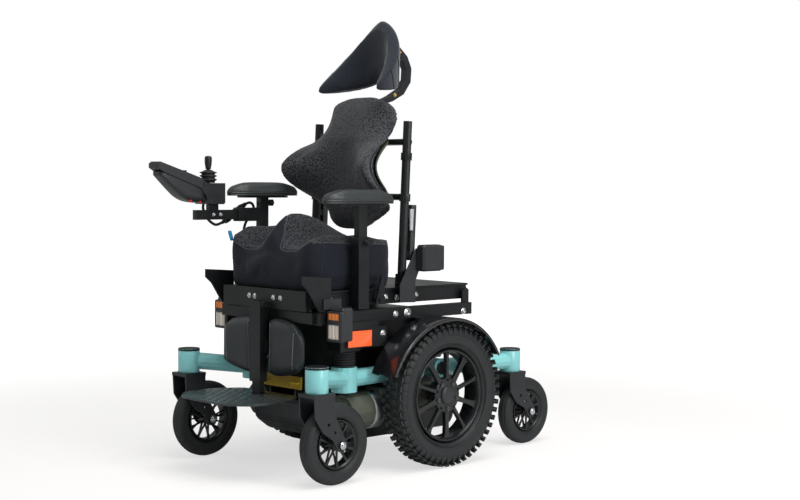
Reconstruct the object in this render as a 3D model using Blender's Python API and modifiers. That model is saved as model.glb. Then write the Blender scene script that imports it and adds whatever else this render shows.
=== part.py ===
"""Pediatric power wheelchair.

Two driven wheels and four swivelling casters, each on its own arm, carry a drive base.
The seat tilts on the base. The backrest reclines on the seat, and the armrests, joystick,
headrest, leg support and footplate adjust. The chair faces -Y, +Z is up and +X is the
seated person's left. Sizes are in metres, and places along Y are counted from the drive
axle until the whole chair is moved to the middle of its length.
"""
import math

import bpy
import bmesh
from mathutils import Matrix, Vector

# Clearances
GAP = 0.0003
RUNNING_GAP = 0.0008
WELD_DISTANCE = 0.000001

# Facets round turned and round pieces
DRIVE_STEPS = 28
CASTER_STEPS = 16
TUBE_SIDES = 12
HEAD_SIDES = 16
PIN_SIDES = 8
BOLT_SIDES = 6

# Drive wheels
DRIVE_RADIUS = 0.175
DRIVE_WIDTH = 0.067
DRIVE_OUTER_X = 0.280
DRIVE_RIM_RADIUS = 0.1125
DRIVE_RIM_WIDTH = 0.052
DRIVE_RIM_WALL = 0.010
DRIVE_HUB_RADIUS = 0.027
DRIVE_SPOKE_PAIRS = 5
DRIVE_SPOKE_DEPTH = 0.009
DRIVE_SPOKE_INSET = 0.006
AXLE_RADIUS = 0.012

# Casters: front pair, then rear pair
FRONT_CASTER_RADIUS = 0.0947
REAR_CASTER_RADIUS = 0.088
CASTER_WIDTH = 0.037
CASTER_RIM_SHARE = 0.60
CASTER_RIM_WALL = 0.006
CASTER_SPOKES = 8
CASTER_HUB_RADIUS = 0.015
CASTER_AXLE_RADIUS = 0.005
CASTER_BOLT_RADIUS = 0.0085
FORK_HOLE_RADIUS = 0.004
FRONT_HEAD_X = 0.2455
FRONT_HEAD_Y = -0.400
FRONT_HEAD_BOTTOM = 0.2154
FRONT_TRAIL = 0.051
REAR_HEAD_X = 0.1695
REAR_HEAD_Y = 0.331
REAR_HEAD_BOTTOM = 0.1977
REAR_TRAIL = 0.055
HEAD_RADIUS = 0.0263
HEAD_HEIGHT = 0.0558
HEAD_CAP_HEIGHT = 0.0035
HEAD_CAP_RIM = 0.0008
STEM_RADIUS = 0.011
STEM_LENGTH = 0.042
FORK_PLATE = 0.004
FORK_LEG_X = 0.0265
FORK_BRIDGE = 0.008
FORK_DEPTH = 0.030
FORK_LIP = 0.0008
FORK_FOOT_RADIUS = 0.016

# Sprung arms
ARM_X = 0.170
ARM_RADIUS = 0.021
FRONT_PIVOT_Y = -0.030
REAR_PIVOT_Y = 0.050
PIVOT_Z = 0.230
PIVOT_HUB_RADIUS = 0.024
PIVOT_HUB_LENGTH = 0.045
PIVOT_PIN_RADIUS = 0.010
CUP_Y = -0.252
CUP_RADIUS = 0.031
CUP_BOTTOM = 0.197
CUP_TOP = 0.256
BELLOWS_RADIUS = 0.028
BELLOWS_BORE = 0.018
BELLOWS_TOP = 0.293
BELLOWS_RIBS = 5

# Drive base
RAIL_INNER_X = 0.166
RAIL_OUTER_X = 0.187
RAIL_FRONT_Y = -0.342
RAIL_REAR_Y = 0.165
RAIL_BOTTOM = 0.359
RAIL_TOP = 0.3885
DECK_THICKNESS = 0.004
SPINE_X = 0.050
SPINE_WALL = 0.005
SPINE_FRONT_Y = -0.300
SPINE_REAR_Y = 0.085
SPINE_BOTTOM = 0.170
AXLE_BLOCK_X = 0.130
AXLE_BLOCK_FRONT_Y = -0.060
AXLE_BLOCK_REAR_Y = 0.080
AXLE_BLOCK_TOP = 0.300
BATTERY_X = 0.110
BATTERY_FRONT_Y = -0.298
BATTERY_REAR_Y = 0.180
BATTERY_BOTTOM = 0.065
MOTOR_X = 0.158
MOTOR_Z = 0.145
MOTOR_RADIUS = 0.043
MOTOR_FRONT_Y = -0.250
MOTOR_REAR_Y = -0.150
GEARBOX_TOP = 0.198
GEARBOX_BOTTOM = 0.120
GEARBOX_REAR_Y = 0.036
GEARBOX_OUTER_X = 0.190
FENDER_GAP = 0.012
FENDER_THICKNESS = 0.003
FENDER_INNER_X = 0.202
FENDER_OUTER_X = 0.2855
FENDER_WALL_DEPTH = 0.025
FENDER_CELLS = 9
FENDER_FRONT_ANGLE = 162.0
FENDER_REAR_ANGLE = 28.0

# Seat frame and its tilt
SEAT_RAIL_INNER_X = 0.145
SEAT_RAIL_OUTER_X = 0.163
SEAT_RAIL_BOTTOM = 0.397
SEAT_RAIL_TOP = 0.432
SEAT_REAR_Y = 0.171
PAN_FRONT_Y = -0.350
PAN_THICKNESS = 0.004
TILT_Y = 0.155
TILT_Z = 0.412
TILT_PIN_RADIUS = 0.006
FRONT_PLATE_X = 0.157
FRONT_PLATE_THICKNESS = 0.008
FRONT_PLATE_BOTTOM = 0.3895
SIDE_PLATE_X = 0.185
SIDE_PLATE_THICKNESS = 0.005
ACTUATOR_BASE_Y = -0.050
ACTUATOR_BASE_Z = 0.250
ACTUATOR_SEAT_Y = -0.250
ACTUATOR_SEAT_Z = 0.395
ACTUATOR_RADIUS = 0.020
ACTUATOR_ROD_RADIUS = 0.008

# Armrests
POST_X = 0.186
POST_Y = -0.216
POST_WIDTH = 0.018
POST_DEPTH = 0.026
POST_SLEEVE_WALL = 0.003
POST_SLEEVE_BOTTOM = 0.392
POST_SLEEVE_TOP = 0.560
POST_BOTTOM = 0.410
PAD_BOTTOM = 0.640
PAD_HEIGHT = 0.035
PAD_WIDTH = 0.052
PAD_FRONT_Y = -0.328
PAD_REAR_Y = -0.110
PAD_X = 0.181
RIGHT_PAD_LIFT = 0.015

# Joystick
JOYSTICK_X = 0.200
JOYSTICK_TUBE_WIDTH = 0.014
JOYSTICK_TUBE_HEIGHT = 0.024
JOYSTICK_TUBE_Z = 0.608
JOYSTICK_TUBE_FRONT_Y = -0.427
JOYSTICK_TUBE_REAR_Y = -0.238
JOYSTICK_SLEEVE_FRONT_Y = -0.300
POD_WIDTH = 0.062
POD_TIP_Y = -0.5365
POD_BOTTOM = 0.634
POD_TOP = 0.686
STICK_Y = -0.375
STICK_PIVOT_Z = 0.676
STICK_RADIUS = 0.004
STICK_CUP_RADIUS = 0.016
STICK_CUP_DEPTH = 0.018
KNOB_RADIUS = 0.0090
KNOB_BOTTOM = 0.7205
KNOB_TOP = 0.753

# Backrest and headrest
CANE_X = 0.165
CANE_RADIUS = 0.011
CANE_LEAN = 0.0458
CANE_TOP = 0.840
RECLINE_Y = -0.0615
RECLINE_Z = 0.458
BACK_BOTTOM = 0.572
BACK_TOP = 0.905
HEADREST_PIVOT_Y = 0.076
HEADREST_PIVOT_Z = 1.026
HEADREST_BAR_Y = -0.012
HEADREST_BAR_BOTTOM = 0.712
HEADREST_BAR_WIDTH = 0.022
HEADREST_BAR_DEPTH = 0.008

# Seat cushion
CUSHION_X = 0.158
CUSHION_FRONT_Y = -0.350
CUSHION_REAR_Y = -0.078

# Leg support
LEG_HINGE_Y = -0.3745
LEG_HINGE_Z = 0.400
MAST_X = 0.020
MAST_DEPTH = 0.022
MAST_BOTTOM = 0.215
LOWER_MAST_BOTTOM = 0.168
FOOTPLATE_TOP = 0.186
FOOTPLATE_THICKNESS = 0.005
FOOTPLATE_FRONT_Y = -0.5375
FOOTPLATE_REAR_Y = -0.334
FOOTPLATE_FRONT_X = 0.085
FOOTPLATE_WIDE_X = 0.145
FOOTPLATE_WIDE_Y = -0.440
FOOTPLATE_REAR_X = 0.102
CALF_INNER_X = 0.027
CALF_OUTER_X = 0.149
CALF_TOP = 0.370
CALF_BOTTOM = 0.230
CALF_THICKNESS = 0.020

# Places worked out from the sizes above
DRIVE_X = DRIVE_OUTER_X - DRIVE_WIDTH / 2
CHAIR_REAR_Y = REAR_HEAD_Y + REAR_TRAIL + REAR_CASTER_RADIUS
CHAIR_SHIFT_Y = -(CHAIR_REAR_Y + FOOTPLATE_FRONT_Y) / 2
PAN_BOTTOM = SEAT_RAIL_TOP
PAN_TOP = PAN_BOTTOM + PAN_THICKNESS
CUSHION_BOTTOM = PAN_TOP + GAP

# Finishes: colour, roughness and metallic value
BLACK_PAINT = ((0.012, 0.012, 0.013), 0.35, 0.0)
BLACK_GLOSS = ((0.010, 0.010, 0.011), 0.18, 0.0)
BLACK_PLASTIC = ((0.020, 0.020, 0.021), 0.55, 0.0)
TYRE_RUBBER = ((0.022, 0.022, 0.023), 0.85, 0.0)
MINT_PAINT = ((0.31, 0.66, 0.62), 0.35, 0.0)
OLIVE_PAINT = ((0.16, 0.17, 0.13), 0.45, 0.2)
STEEL = ((0.55, 0.55, 0.56), 0.35, 1.0)
DARK_STEEL = ((0.06, 0.06, 0.065), 0.42, 0.8)
NAVY_FABRIC = ((0.014, 0.016, 0.028), 0.90, 0.0)
BLACK_VINYL = ((0.016, 0.016, 0.017), 0.60, 0.0)
AMBER_LENS = ((0.80, 0.22, 0.02), 0.12, 0.0)
RED_LENS = ((0.70, 0.03, 0.03), 0.12, 0.0)
YELLOW_PAINT = ((0.75, 0.55, 0.03), 0.45, 0.0)


def new_collection(name):
    """A collection under the scene's own one."""
    collection = bpy.data.collections.new(name)
    bpy.context.scene.collection.children.link(collection)
    return collection


for old_object in list(bpy.data.objects):
    bpy.data.objects.remove(old_object, do_unlink=True)
CHAIR = new_collection("pediatric_power_wheelchair")
WORKSHOP = new_collection("workshop")
CHAIR_EMPTY = bpy.data.objects.new("chair", None)
CHAIR_EMPTY.location = (0.0, CHAIR_SHIFT_Y, 0.0)
CHAIR.objects.link(CHAIR_EMPTY)


# Building solids
def solid_from(bm):
    """A workshop object with the shape in a bmesh, its faces turned outwards."""
    bmesh.ops.recalc_face_normals(bm, faces=bm.faces)
    if bm.calc_volume(signed=True) < 0:
        bmesh.ops.reverse_faces(bm, faces=bm.faces)
    mesh = bpy.data.meshes.new("solid")
    bm.to_mesh(mesh)
    bm.free()
    solid = bpy.data.objects.new("solid", mesh)
    WORKSHOP.objects.link(solid)
    return solid


def baked(source, matrix=None):
    """The evaluated shape of a curve or a modified mesh, welded, in place of the source."""
    bpy.context.view_layer.update()
    graph = bpy.context.evaluated_depsgraph_get()
    mesh = bpy.data.meshes.new_from_object(source.evaluated_get(graph))
    bm = bmesh.new()
    bm.from_mesh(mesh)
    bmesh.ops.remove_doubles(bm, verts=bm.verts, dist=WELD_DISTANCE)
    bmesh.ops.transform(bm, matrix=matrix or source.matrix_world, verts=bm.verts)
    bpy.data.objects.remove(source, do_unlink=True)
    return solid_from(bm)


def box(corner, other_corner, bevel=0.0):
    """A box between two corners in any order, with its edges bevelled."""
    low = Vector(min(a, b) for a, b in zip(corner, other_corner))
    high = Vector(max(a, b) for a, b in zip(corner, other_corner))
    bm = bmesh.new()
    bmesh.ops.create_cube(bm, size=1.0)
    bmesh.ops.scale(bm, vec=high - low, verts=bm.verts)
    if bevel:
        bmesh.ops.bevel(bm, geom=bm.edges[:], offset=bevel, segments=1, affect="EDGES")
    bmesh.ops.translate(bm, vec=(low + high) / 2, verts=bm.verts)
    return solid_from(bm)


def rod(start, end, radius, sides=TUBE_SIDES):
    """A cylinder from one point to another."""
    start, end = Vector(start), Vector(end)
    bm = bmesh.new()
    bmesh.ops.create_cone(bm, cap_ends=True, segments=sides, radius1=radius, radius2=radius,
                          depth=(end - start).length)
    turn = (end - start).to_track_quat("Z", "Y").to_matrix().to_4x4()
    bmesh.ops.transform(bm, matrix=Matrix.Translation((start + end) / 2) @ turn, verts=bm.verts)
    return solid_from(bm)


def bore(start, end, pin_radius, sides=PIN_SIDES):
    """The cut in which a round pin can turn, clear of it at every angle."""
    return rod(start, end, pin_radius / math.cos(math.pi / sides) + GAP, sides)


def polyline(curve, points, cyclic):
    """A straight-segment spline through points."""
    spline = curve.splines.new("POLY")
    spline.points.add(len(points) - 1)
    for spot, point in zip(spline.points, points):
        spot.co = (*point, 1.0)
    spline.use_cyclic_u = cyclic
    return spline


PLATE_FRAMES = {
    "X": Matrix(((0, 0, 1, 0), (1, 0, 0, 0), (0, 1, 0, 0), (0, 0, 0, 1))),
    "Y": Matrix(((1, 0, 0, 0), (0, 0, -1, 0), (0, 1, 0, 0), (0, 0, 0, 1))),
    "Z": Matrix.Identity(4),
}


def plate(outline, side, other_side, axis="X", holes=()):
    """A flat outline with holes, between two places on its axis.

    The outline's points are (y, z) for X, (x, z) for Y and (x, y) for Z.
    """
    curve = bpy.data.curves.new("outline", "CURVE")
    curve.dimensions = "2D"
    curve.fill_mode = "BOTH"
    curve.extrude = abs(other_side - side) / 2
    for points in (outline, *holes):
        polyline(curve, [(*point, 0.0) for point in points], True)
    flat = bpy.data.objects.new("outline", curve)
    WORKSHOP.objects.link(flat)
    middle = Vector((0.0, 0.0, 0.0))
    middle["XYZ".index(axis)] = (side + other_side) / 2
    return baked(flat, Matrix.Translation(middle) @ PLATE_FRAMES[axis])


def rounded(points, radius, steps=4):
    """An outline with each corner rounded, by no more than its sides allow."""
    result = []
    for index, corner in enumerate(points):
        corner = Vector(corner)
        before = Vector(points[index - 1]) - corner
        after = Vector(points[(index + 1) % len(points)]) - corner
        reach = min(radius, 0.45 * before.length, 0.45 * after.length)
        start = corner + before.normalized() * reach
        end = corner + after.normalized() * reach
        for step in range(steps + 1):
            t = step / steps
            result.append(tuple(start * (1 - t) ** 2 + corner * 2 * t * (1 - t) + end * t ** 2))
    return result


def circle(centre, radius, sides=16):
    """Points round a circle."""
    turn = 2 * math.pi / sides
    return [(centre[0] + radius * math.cos(k * turn), centre[1] + radius * math.sin(k * turn))
            for k in range(sides)]


def turned(profile, centre, axis, steps=32):
    """A turned solid. Its (radius, height) profile runs down the outer side."""
    closed = profile[0][0] > 0 or profile[-1][0] > 0
    bm = bmesh.new()
    corners = [bm.verts.new((radius, 0.0, height)) for radius, height in profile]
    for first, second in zip(corners, corners[1:]):
        bm.edges.new((first, second))
    if closed:
        bm.edges.new((corners[-1], corners[0]))
    mesh = bpy.data.meshes.new("profile")
    bm.to_mesh(mesh)
    bm.free()
    blank = bpy.data.objects.new("profile", mesh)
    WORKSHOP.objects.link(blank)
    screw = blank.modifiers.new("Screw", "SCREW")
    screw.steps = steps
    screw.render_steps = steps
    screw.use_merge_vertices = True
    screw.merge_threshold = 0.0001
    turn = Vector(axis).to_track_quat("Z", "Y").to_matrix().to_4x4()
    return baked(blank, Matrix.Translation(Vector(centre)) @ turn)


def bar(points, radius, roundness=2, swell=None):
    """A round bar along points. Swell gives a share of the radius at each point."""
    curve = bpy.data.curves.new("path", "CURVE")
    curve.dimensions = "3D"
    curve.bevel_depth = radius
    curve.bevel_resolution = roundness
    curve.use_fill_caps = True
    spline = polyline(curve, points, False)
    for spot, share in zip(spline.points, swell or []):
        spot.radius = share
    path = bpy.data.objects.new("path", curve)
    WORKSHOP.objects.link(path)
    return baked(path)


def smooth_path(knots, spacing):
    """Evenly spaced points on a smooth curve through knots."""
    knots = [Vector(knot) for knot in knots]
    ends = [2 * knots[0] - knots[1], *knots, 2 * knots[-1] - knots[-2]]
    dense = []
    for a, b, c, d in zip(ends, ends[1:], ends[2:], ends[3:]):
        for step in range(24):
            t = step / 24
            dense.append(0.5 * (2 * b + (c - a) * t + (2 * a - 5 * b + 4 * c - d) * t ** 2
                                + (3 * b - a - 3 * c + d) * t ** 3))
    dense.append(knots[-1])
    length = sum((q - p).length for p, q in zip(dense, dense[1:]))
    count = max(2, round(length / spacing))
    points, walked, target = [dense[0]], 0.0, length / count
    for p, q in zip(dense, dense[1:]):
        step = (q - p).length
        while step and walked + step >= target and len(points) < count:
            points.append(p.lerp(q, (target - walked) / step))
            target += length / count
        walked += step
    return [tuple(point) for point in (*points, dense[-1])]


def block(cuts, shape):
    """A cube cut into cells, each corner (u, v, w) from -1 to 1 moved by a shape formula."""
    bm = bmesh.new()
    bmesh.ops.create_cube(bm, size=2.0)
    for axis, count in enumerate(cuts):
        normal = Vector((0.0, 0.0, 0.0))
        normal[axis] = 1.0
        for k in range(1, count):
            everything = bm.verts[:] + bm.edges[:] + bm.faces[:]
            bmesh.ops.bisect_plane(bm, geom=everything, plane_co=normal * (2 * k / count - 1),
                                   plane_no=normal)
    for face in bm.faces[:]:
        corners = face.verts[:]
        low = min(range(4), key=lambda index: abs(corners[index].co.x) + corners[index].co.y
                  + corners[index].co.z)
        bmesh.utils.face_split(face, corners[low], corners[low - 2])
    for vert in bm.verts:
        vert.co = Vector(shape(*vert.co))
    return solid_from(bm)


def combine(solid, others, operation):
    """The solid joined with, or cut by, other solids."""
    for other in others:
        modifier = solid.modifiers.new(operation.title(), "BOOLEAN")
        modifier.operation = operation
        modifier.solver = "EXACT"
        modifier.object = other
    result = baked(solid, Matrix.Identity(4))
    for other in others:
        bpy.data.objects.remove(other, do_unlink=True)
    return result


def fuse(solids, cuts=()):
    """One body from touching solids, less the cuts."""
    first, *rest = solids
    if rest:
        first = combine(first, rest, "UNION")
    if cuts:
        first = combine(first, list(cuts), "DIFFERENCE")
    return first


def make_part(name, solid, finish, origin=(0.0, 0.0, 0.0)):
    """The named sub-part with its own material and its origin on its joint."""
    solid.name = name
    solid.data.name = name
    solid.data.transform(Matrix.Translation(-Vector(origin)))
    solid.location = origin
    solid.parent = CHAIR_EMPTY
    WORKSHOP.objects.unlink(solid)
    CHAIR.objects.link(solid)
    colour, roughness, metallic = finish
    material = bpy.data.materials.new(name + "_material")
    material.use_nodes = True
    shader = material.node_tree.nodes["Principled BSDF"]
    shader.inputs["Base Color"].default_value = (*colour, 1.0)
    shader.inputs["Roughness"].default_value = roughness
    shader.inputs["Metallic"].default_value = metallic
    solid.data.materials.clear()
    solid.data.materials.append(material)
    solid.data.shade_smooth()
    solid.data.set_sharp_from_angle(angle=math.radians(35))
    return solid


SIDES = (("left", 1), ("right", -1))


# Wheels
DRIVE_TYRE_POINTS = 12
CASTER_TYRE_POINTS = 8
TYRE_SQUARENESS = 2.8


def tyre_profile(inner, outer, width, count):
    """The rounded square section of a tyre, as a closed turned profile."""
    points = []
    for k in range(count):
        turn = 2 * math.pi * k / count
        out, down = (math.copysign(abs(part) ** (2 / TYRE_SQUARENESS), part)
                     for part in (math.cos(turn), math.sin(turn)))
        points.append(((inner + outer) / 2 + out * (outer - inner) / 2, -down * width / 2))
    return points


def spoke_windows(centre, inner, outer, widths):
    """The openings between spokes of the given widths, dealt round in turn."""
    windows = []
    count = len(widths)
    for k in range(count):
        start, end = (2 * math.pi * edge / count for edge in (k, k + 1))
        first, last = widths[k] / 2, widths[(k + 1) % count] / 2
        corners = [(inner, start + first / inner), (inner, end - last / inner)]
        corners += [(outer, end - last / outer), (outer, start + first / outer)]
        windows.append([(centre[0] + radius * math.cos(turn), centre[1] + radius * math.sin(turn))
                        for radius, turn in corners])
    return windows


def wheel_centre(solid_name, centre, rim_radius, rim_width, rim_wall, face, spoke_depth, widths,
                 hub_radius, hub, axle_radius, hole_ends, steps):
    """A rim, its spoked disc, a hub along X from place to place, and the hub's bore."""
    x, y, z = centre
    ring = turned([(rim_radius, rim_width / 2), (rim_radius, -rim_width / 2),
                   (rim_radius - rim_wall, -rim_width / 2), (rim_radius - rim_wall, rim_width / 2)],
                  centre, (1, 0, 0), steps)
    edge = rim_radius - rim_wall / 2
    windows = spoke_windows((y, z), hub_radius * 1.3, rim_radius - rim_wall * 1.4, widths)
    disc = plate(circle((y, z), edge, steps), face, face - spoke_depth, "X", windows)
    middle = rod((hub[0], y, z), (hub[1], y, z), hub_radius, PIN_SIDES)
    hole = bore((hole_ends[0], y, z), (hole_ends[1], y, z), axle_radius)
    return make_part(solid_name, fuse([ring, disc, middle], [hole]), BLACK_GLOSS, centre)


def drive_wheel(side_name, side):
    """A driven wheel: its tyre, and its spoked rim with the hub on the gearbox shaft."""
    centre = (side * DRIVE_X, 0.0, DRIVE_RADIUS)
    profile = tyre_profile(DRIVE_RIM_RADIUS + GAP, DRIVE_RADIUS, DRIVE_WIDTH, DRIVE_TYRE_POINTS)
    tyre = turned(profile, centre, (1, 0, 0), DRIVE_STEPS)
    make_part("drive_tyre_" + side_name, tyre, TYRE_RUBBER, centre)
    face = side * (DRIVE_X + DRIVE_RIM_WIDTH / 2 - DRIVE_SPOKE_INSET)
    back = side * (DRIVE_X - DRIVE_RIM_WIDTH / 2)
    widths = [0.013, 0.008] * DRIVE_SPOKE_PAIRS
    wheel_centre("drive_rim_" + side_name, centre, DRIVE_RIM_RADIUS, DRIVE_RIM_WIDTH,
                 DRIVE_RIM_WALL, face, side * DRIVE_SPOKE_DEPTH, widths, DRIVE_HUB_RADIUS,
                 (back, face + side * 0.002), AXLE_RADIUS,
                 (back - side * 0.01, face - side * DRIVE_SPOKE_DEPTH), DRIVE_STEPS)


def caster(name, head_x, head_y, head_bottom, trail, radius):
    """A fork with its stem and axle, and the wheel between its legs."""
    top = head_bottom - GAP
    axle = (head_x, head_y + trail, radius)
    drop = top - radius
    leg_top = top - FORK_BRIDGE / 2
    front_edge = [(head_y - FORK_DEPTH, leg_top), (head_y - FORK_DEPTH * 0.9, radius + 0.55 * drop),
                  (head_y - trail * 0.1, radius + 0.28 * drop),
                  (head_y + trail * 0.5, radius + 0.11 * drop)]
    foot = [(axle[1] + FORK_FOOT_RADIUS * math.cos(math.radians(turn)),
             radius + FORK_FOOT_RADIUS * math.sin(math.radians(turn)))
            for turn in range(-140, 41, 30)]
    rear_edge = [(head_y + trail * 0.80, radius + 0.42 * drop),
                 (head_y + FORK_DEPTH, radius + 0.60 * drop), (head_y + FORK_DEPTH, leg_top)]
    holes = [circle((head_y + trail * along, radius + up * drop), FORK_HOLE_RADIUS, 6)
             for along, up in ((0.24, 0.42), (0.60, 0.26))]
    legs = [plate(front_edge + foot + rear_edge, head_x + leg - FORK_PLATE / 2,
                  head_x + leg + FORK_PLATE / 2, "X", holes)
            for leg in (FORK_LEG_X, -FORK_LEG_X)]
    half = FORK_LEG_X + FORK_PLATE / 2
    reach_x, reach_y = half + FORK_LIP, FORK_DEPTH + FORK_LIP
    bridge = box((head_x - reach_x, head_y - reach_y, top - FORK_BRIDGE),
                 (head_x + reach_x, head_y + reach_y, top))
    stem = rod((head_x, head_y, leg_top), (head_x, head_y, top + STEM_LENGTH), STEM_RADIUS)
    pin = rod((axle[0] - half - 0.003, *axle[1:]), (axle[0] + half + 0.003, *axle[1:]),
              CASTER_AXLE_RADIUS, PIN_SIDES)
    heads = [rod((axle[0] + end * half, *axle[1:]), (axle[0] + end * (half + 0.005), *axle[1:]),
                 CASTER_BOLT_RADIUS, BOLT_SIDES) for end in (1, -1)]
    make_part("caster_fork_" + name, fuse([bridge, *legs, stem, pin, *heads]), DARK_STEEL,
              (head_x, head_y, head_bottom))
    rim_radius = radius * CASTER_RIM_SHARE
    profile = tyre_profile(rim_radius + GAP, radius, CASTER_WIDTH, CASTER_TYRE_POINTS)
    tyre = turned(profile, axle, (1, 0, 0), CASTER_STEPS)
    make_part("caster_tyre_" + name, tyre, TYRE_RUBBER, axle)
    hub_reach = FORK_LEG_X - FORK_PLATE / 2 - GAP
    wheel_centre("caster_rim_" + name, axle, rim_radius, CASTER_WIDTH * 0.78, CASTER_RIM_WALL,
                 axle[0] + 0.003, 0.006, [0.006] * CASTER_SPOKES, CASTER_HUB_RADIUS,
                 (axle[0] - hub_reach, axle[0] + hub_reach), CASTER_AXLE_RADIUS,
                 (axle[0] - 2 * hub_reach, axle[0] + 2 * hub_reach), CASTER_STEPS)


# Sprung arms
def head_tube(x, y, bottom):
    """A caster's head tube with its cap."""
    top = bottom + HEAD_HEIGHT
    return [rod((x, y, bottom), (x, y, top), HEAD_RADIUS, HEAD_SIDES),
            rod((x, y, top), (x, y, top + HEAD_CAP_HEIGHT), HEAD_RADIUS + HEAD_CAP_RIM, HEAD_SIDES)]


def stem_bore(x, y, bottom):
    """The cut for a fork's stem."""
    return bore((x, y, bottom - 0.01), (x, y, bottom + STEM_LENGTH + GAP), STEM_RADIUS, TUBE_SIDES)


def pivot_hub(side, y):
    """An arm's hub along X, and the cut for its pin."""
    ends = [side * (ARM_X + reach * PIVOT_HUB_LENGTH) for reach in (-0.5, 0.5)]
    hub = rod((ends[0], y, PIVOT_Z), (ends[1], y, PIVOT_Z), PIVOT_HUB_RADIUS, TUBE_SIDES)
    hole = bore((ends[0] - side * 0.01, y, PIVOT_Z), (ends[1] + side * 0.01, y, PIVOT_Z), PIVOT_PIN_RADIUS)
    return hub, hole


def front_arm(side_name, side):
    """The arm from the front head tube past the spring cup to its pivot."""
    middle = FRONT_HEAD_BOTTOM + HEAD_HEIGHT / 2
    cup_middle = (CUP_TOP + CUP_BOTTOM) / 2
    x, head_x = side * ARM_X, side * FRONT_HEAD_X
    hub, hole = pivot_hub(side, FRONT_PIVOT_Y)
    inward = Vector((x - head_x, CUP_Y - FRONT_HEAD_Y)).normalized() * HEAD_RADIUS * 0.7
    outer_tube = rod((head_x + inward.x, FRONT_HEAD_Y + inward.y, middle),
                     (x, CUP_Y, cup_middle), ARM_RADIUS, TUBE_SIDES)
    inner_tube = rod((x, CUP_Y, cup_middle), (x, FRONT_PIVOT_Y, PIVOT_Z), ARM_RADIUS, TUBE_SIDES)
    cup = rod((x, CUP_Y, CUP_BOTTOM), (x, CUP_Y, CUP_TOP), CUP_RADIUS, HEAD_SIDES)
    solids = head_tube(head_x, FRONT_HEAD_Y, FRONT_HEAD_BOTTOM) + [outer_tube, cup, inner_tube, hub]
    cuts = [stem_bore(head_x, FRONT_HEAD_Y, FRONT_HEAD_BOTTOM), hole]
    make_part("front_arm_" + side_name, fuse(solids, cuts), MINT_PAINT, (x, FRONT_PIVOT_Y, PIVOT_Z))


def rear_arm(side_name, side):
    """The arm from its pivot to the rear head tube."""
    x, head_x = side * ARM_X, side * REAR_HEAD_X
    middle = REAR_HEAD_BOTTOM + HEAD_HEIGHT / 2
    hub, hole = pivot_hub(side, REAR_PIVOT_Y)
    tube = rod((x, REAR_PIVOT_Y, PIVOT_Z), (head_x, REAR_HEAD_Y - HEAD_RADIUS * 0.7, middle),
               ARM_RADIUS, TUBE_SIDES)
    solids = head_tube(head_x, REAR_HEAD_Y, REAR_HEAD_BOTTOM) + [tube, hub]
    cuts = [stem_bore(head_x, REAR_HEAD_Y, REAR_HEAD_BOTTOM), hole]
    make_part("rear_arm_" + side_name, fuse(solids, cuts), MINT_PAINT, (x, REAR_PIVOT_Y, PIVOT_Z))


def ribbed_profile(crest, valley, bore, top, bottom, ribs):
    """The turned section of a ribbed sleeve."""
    steps = 2 * ribs
    outside = [(crest if k % 2 else valley, top + (bottom - top) * k / steps)
               for k in range(steps + 1)]
    return outside + [(bore, bottom), (bore, top)]


def bellows(side_name, side):
    """The ribbed sleeve over a front arm's spring."""
    profile = ribbed_profile(BELLOWS_RADIUS, BELLOWS_RADIUS - 0.004, BELLOWS_BORE,
                             BELLOWS_TOP - GAP, CUP_TOP + GAP, BELLOWS_RIBS)
    sleeve = turned(profile, (side * ARM_X, CUP_Y, 0.0), (0, 0, 1), TUBE_SIDES)
    make_part("bellows_" + side_name, sleeve, BLACK_PLASTIC, (side * ARM_X, CUP_Y, BELLOWS_TOP))


for side_label, side_sign in SIDES:
    drive_wheel(side_label, side_sign)
    caster("front_" + side_label, side_sign * FRONT_HEAD_X, FRONT_HEAD_Y, FRONT_HEAD_BOTTOM,
           FRONT_TRAIL, FRONT_CASTER_RADIUS)
    caster("rear_" + side_label, side_sign * REAR_HEAD_X, REAR_HEAD_Y, REAR_HEAD_BOTTOM,
           REAR_TRAIL, REAR_CASTER_RADIUS)
    front_arm(side_label, side_sign)
    rear_arm(side_label, side_sign)
    bellows(side_label, side_sign)


# Drive base
OVERLAP = 0.002
COLLAR_RADIUS = 0.016
SEAT_EAR_INNER_X = 0.171
EAR_THICKNESS = 0.006
EAR_REACH = 0.014
ACTUATOR_PIN_RADIUS = 0.005
REFLECTOR_X = 0.195
REFLECTOR_Y = (-0.2675, -0.193)
REFLECTOR_Z = (0.304, 0.342)
RING_Z = 0.210
RING_X = (0.049, 0.069)
RING_RADIUS = 0.0035
RING_LENGTH = 0.022
RING_CORNER = 0.006
BRACKET_THICKNESS = 0.004
BRACKET_HEIGHT = 0.030


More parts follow.
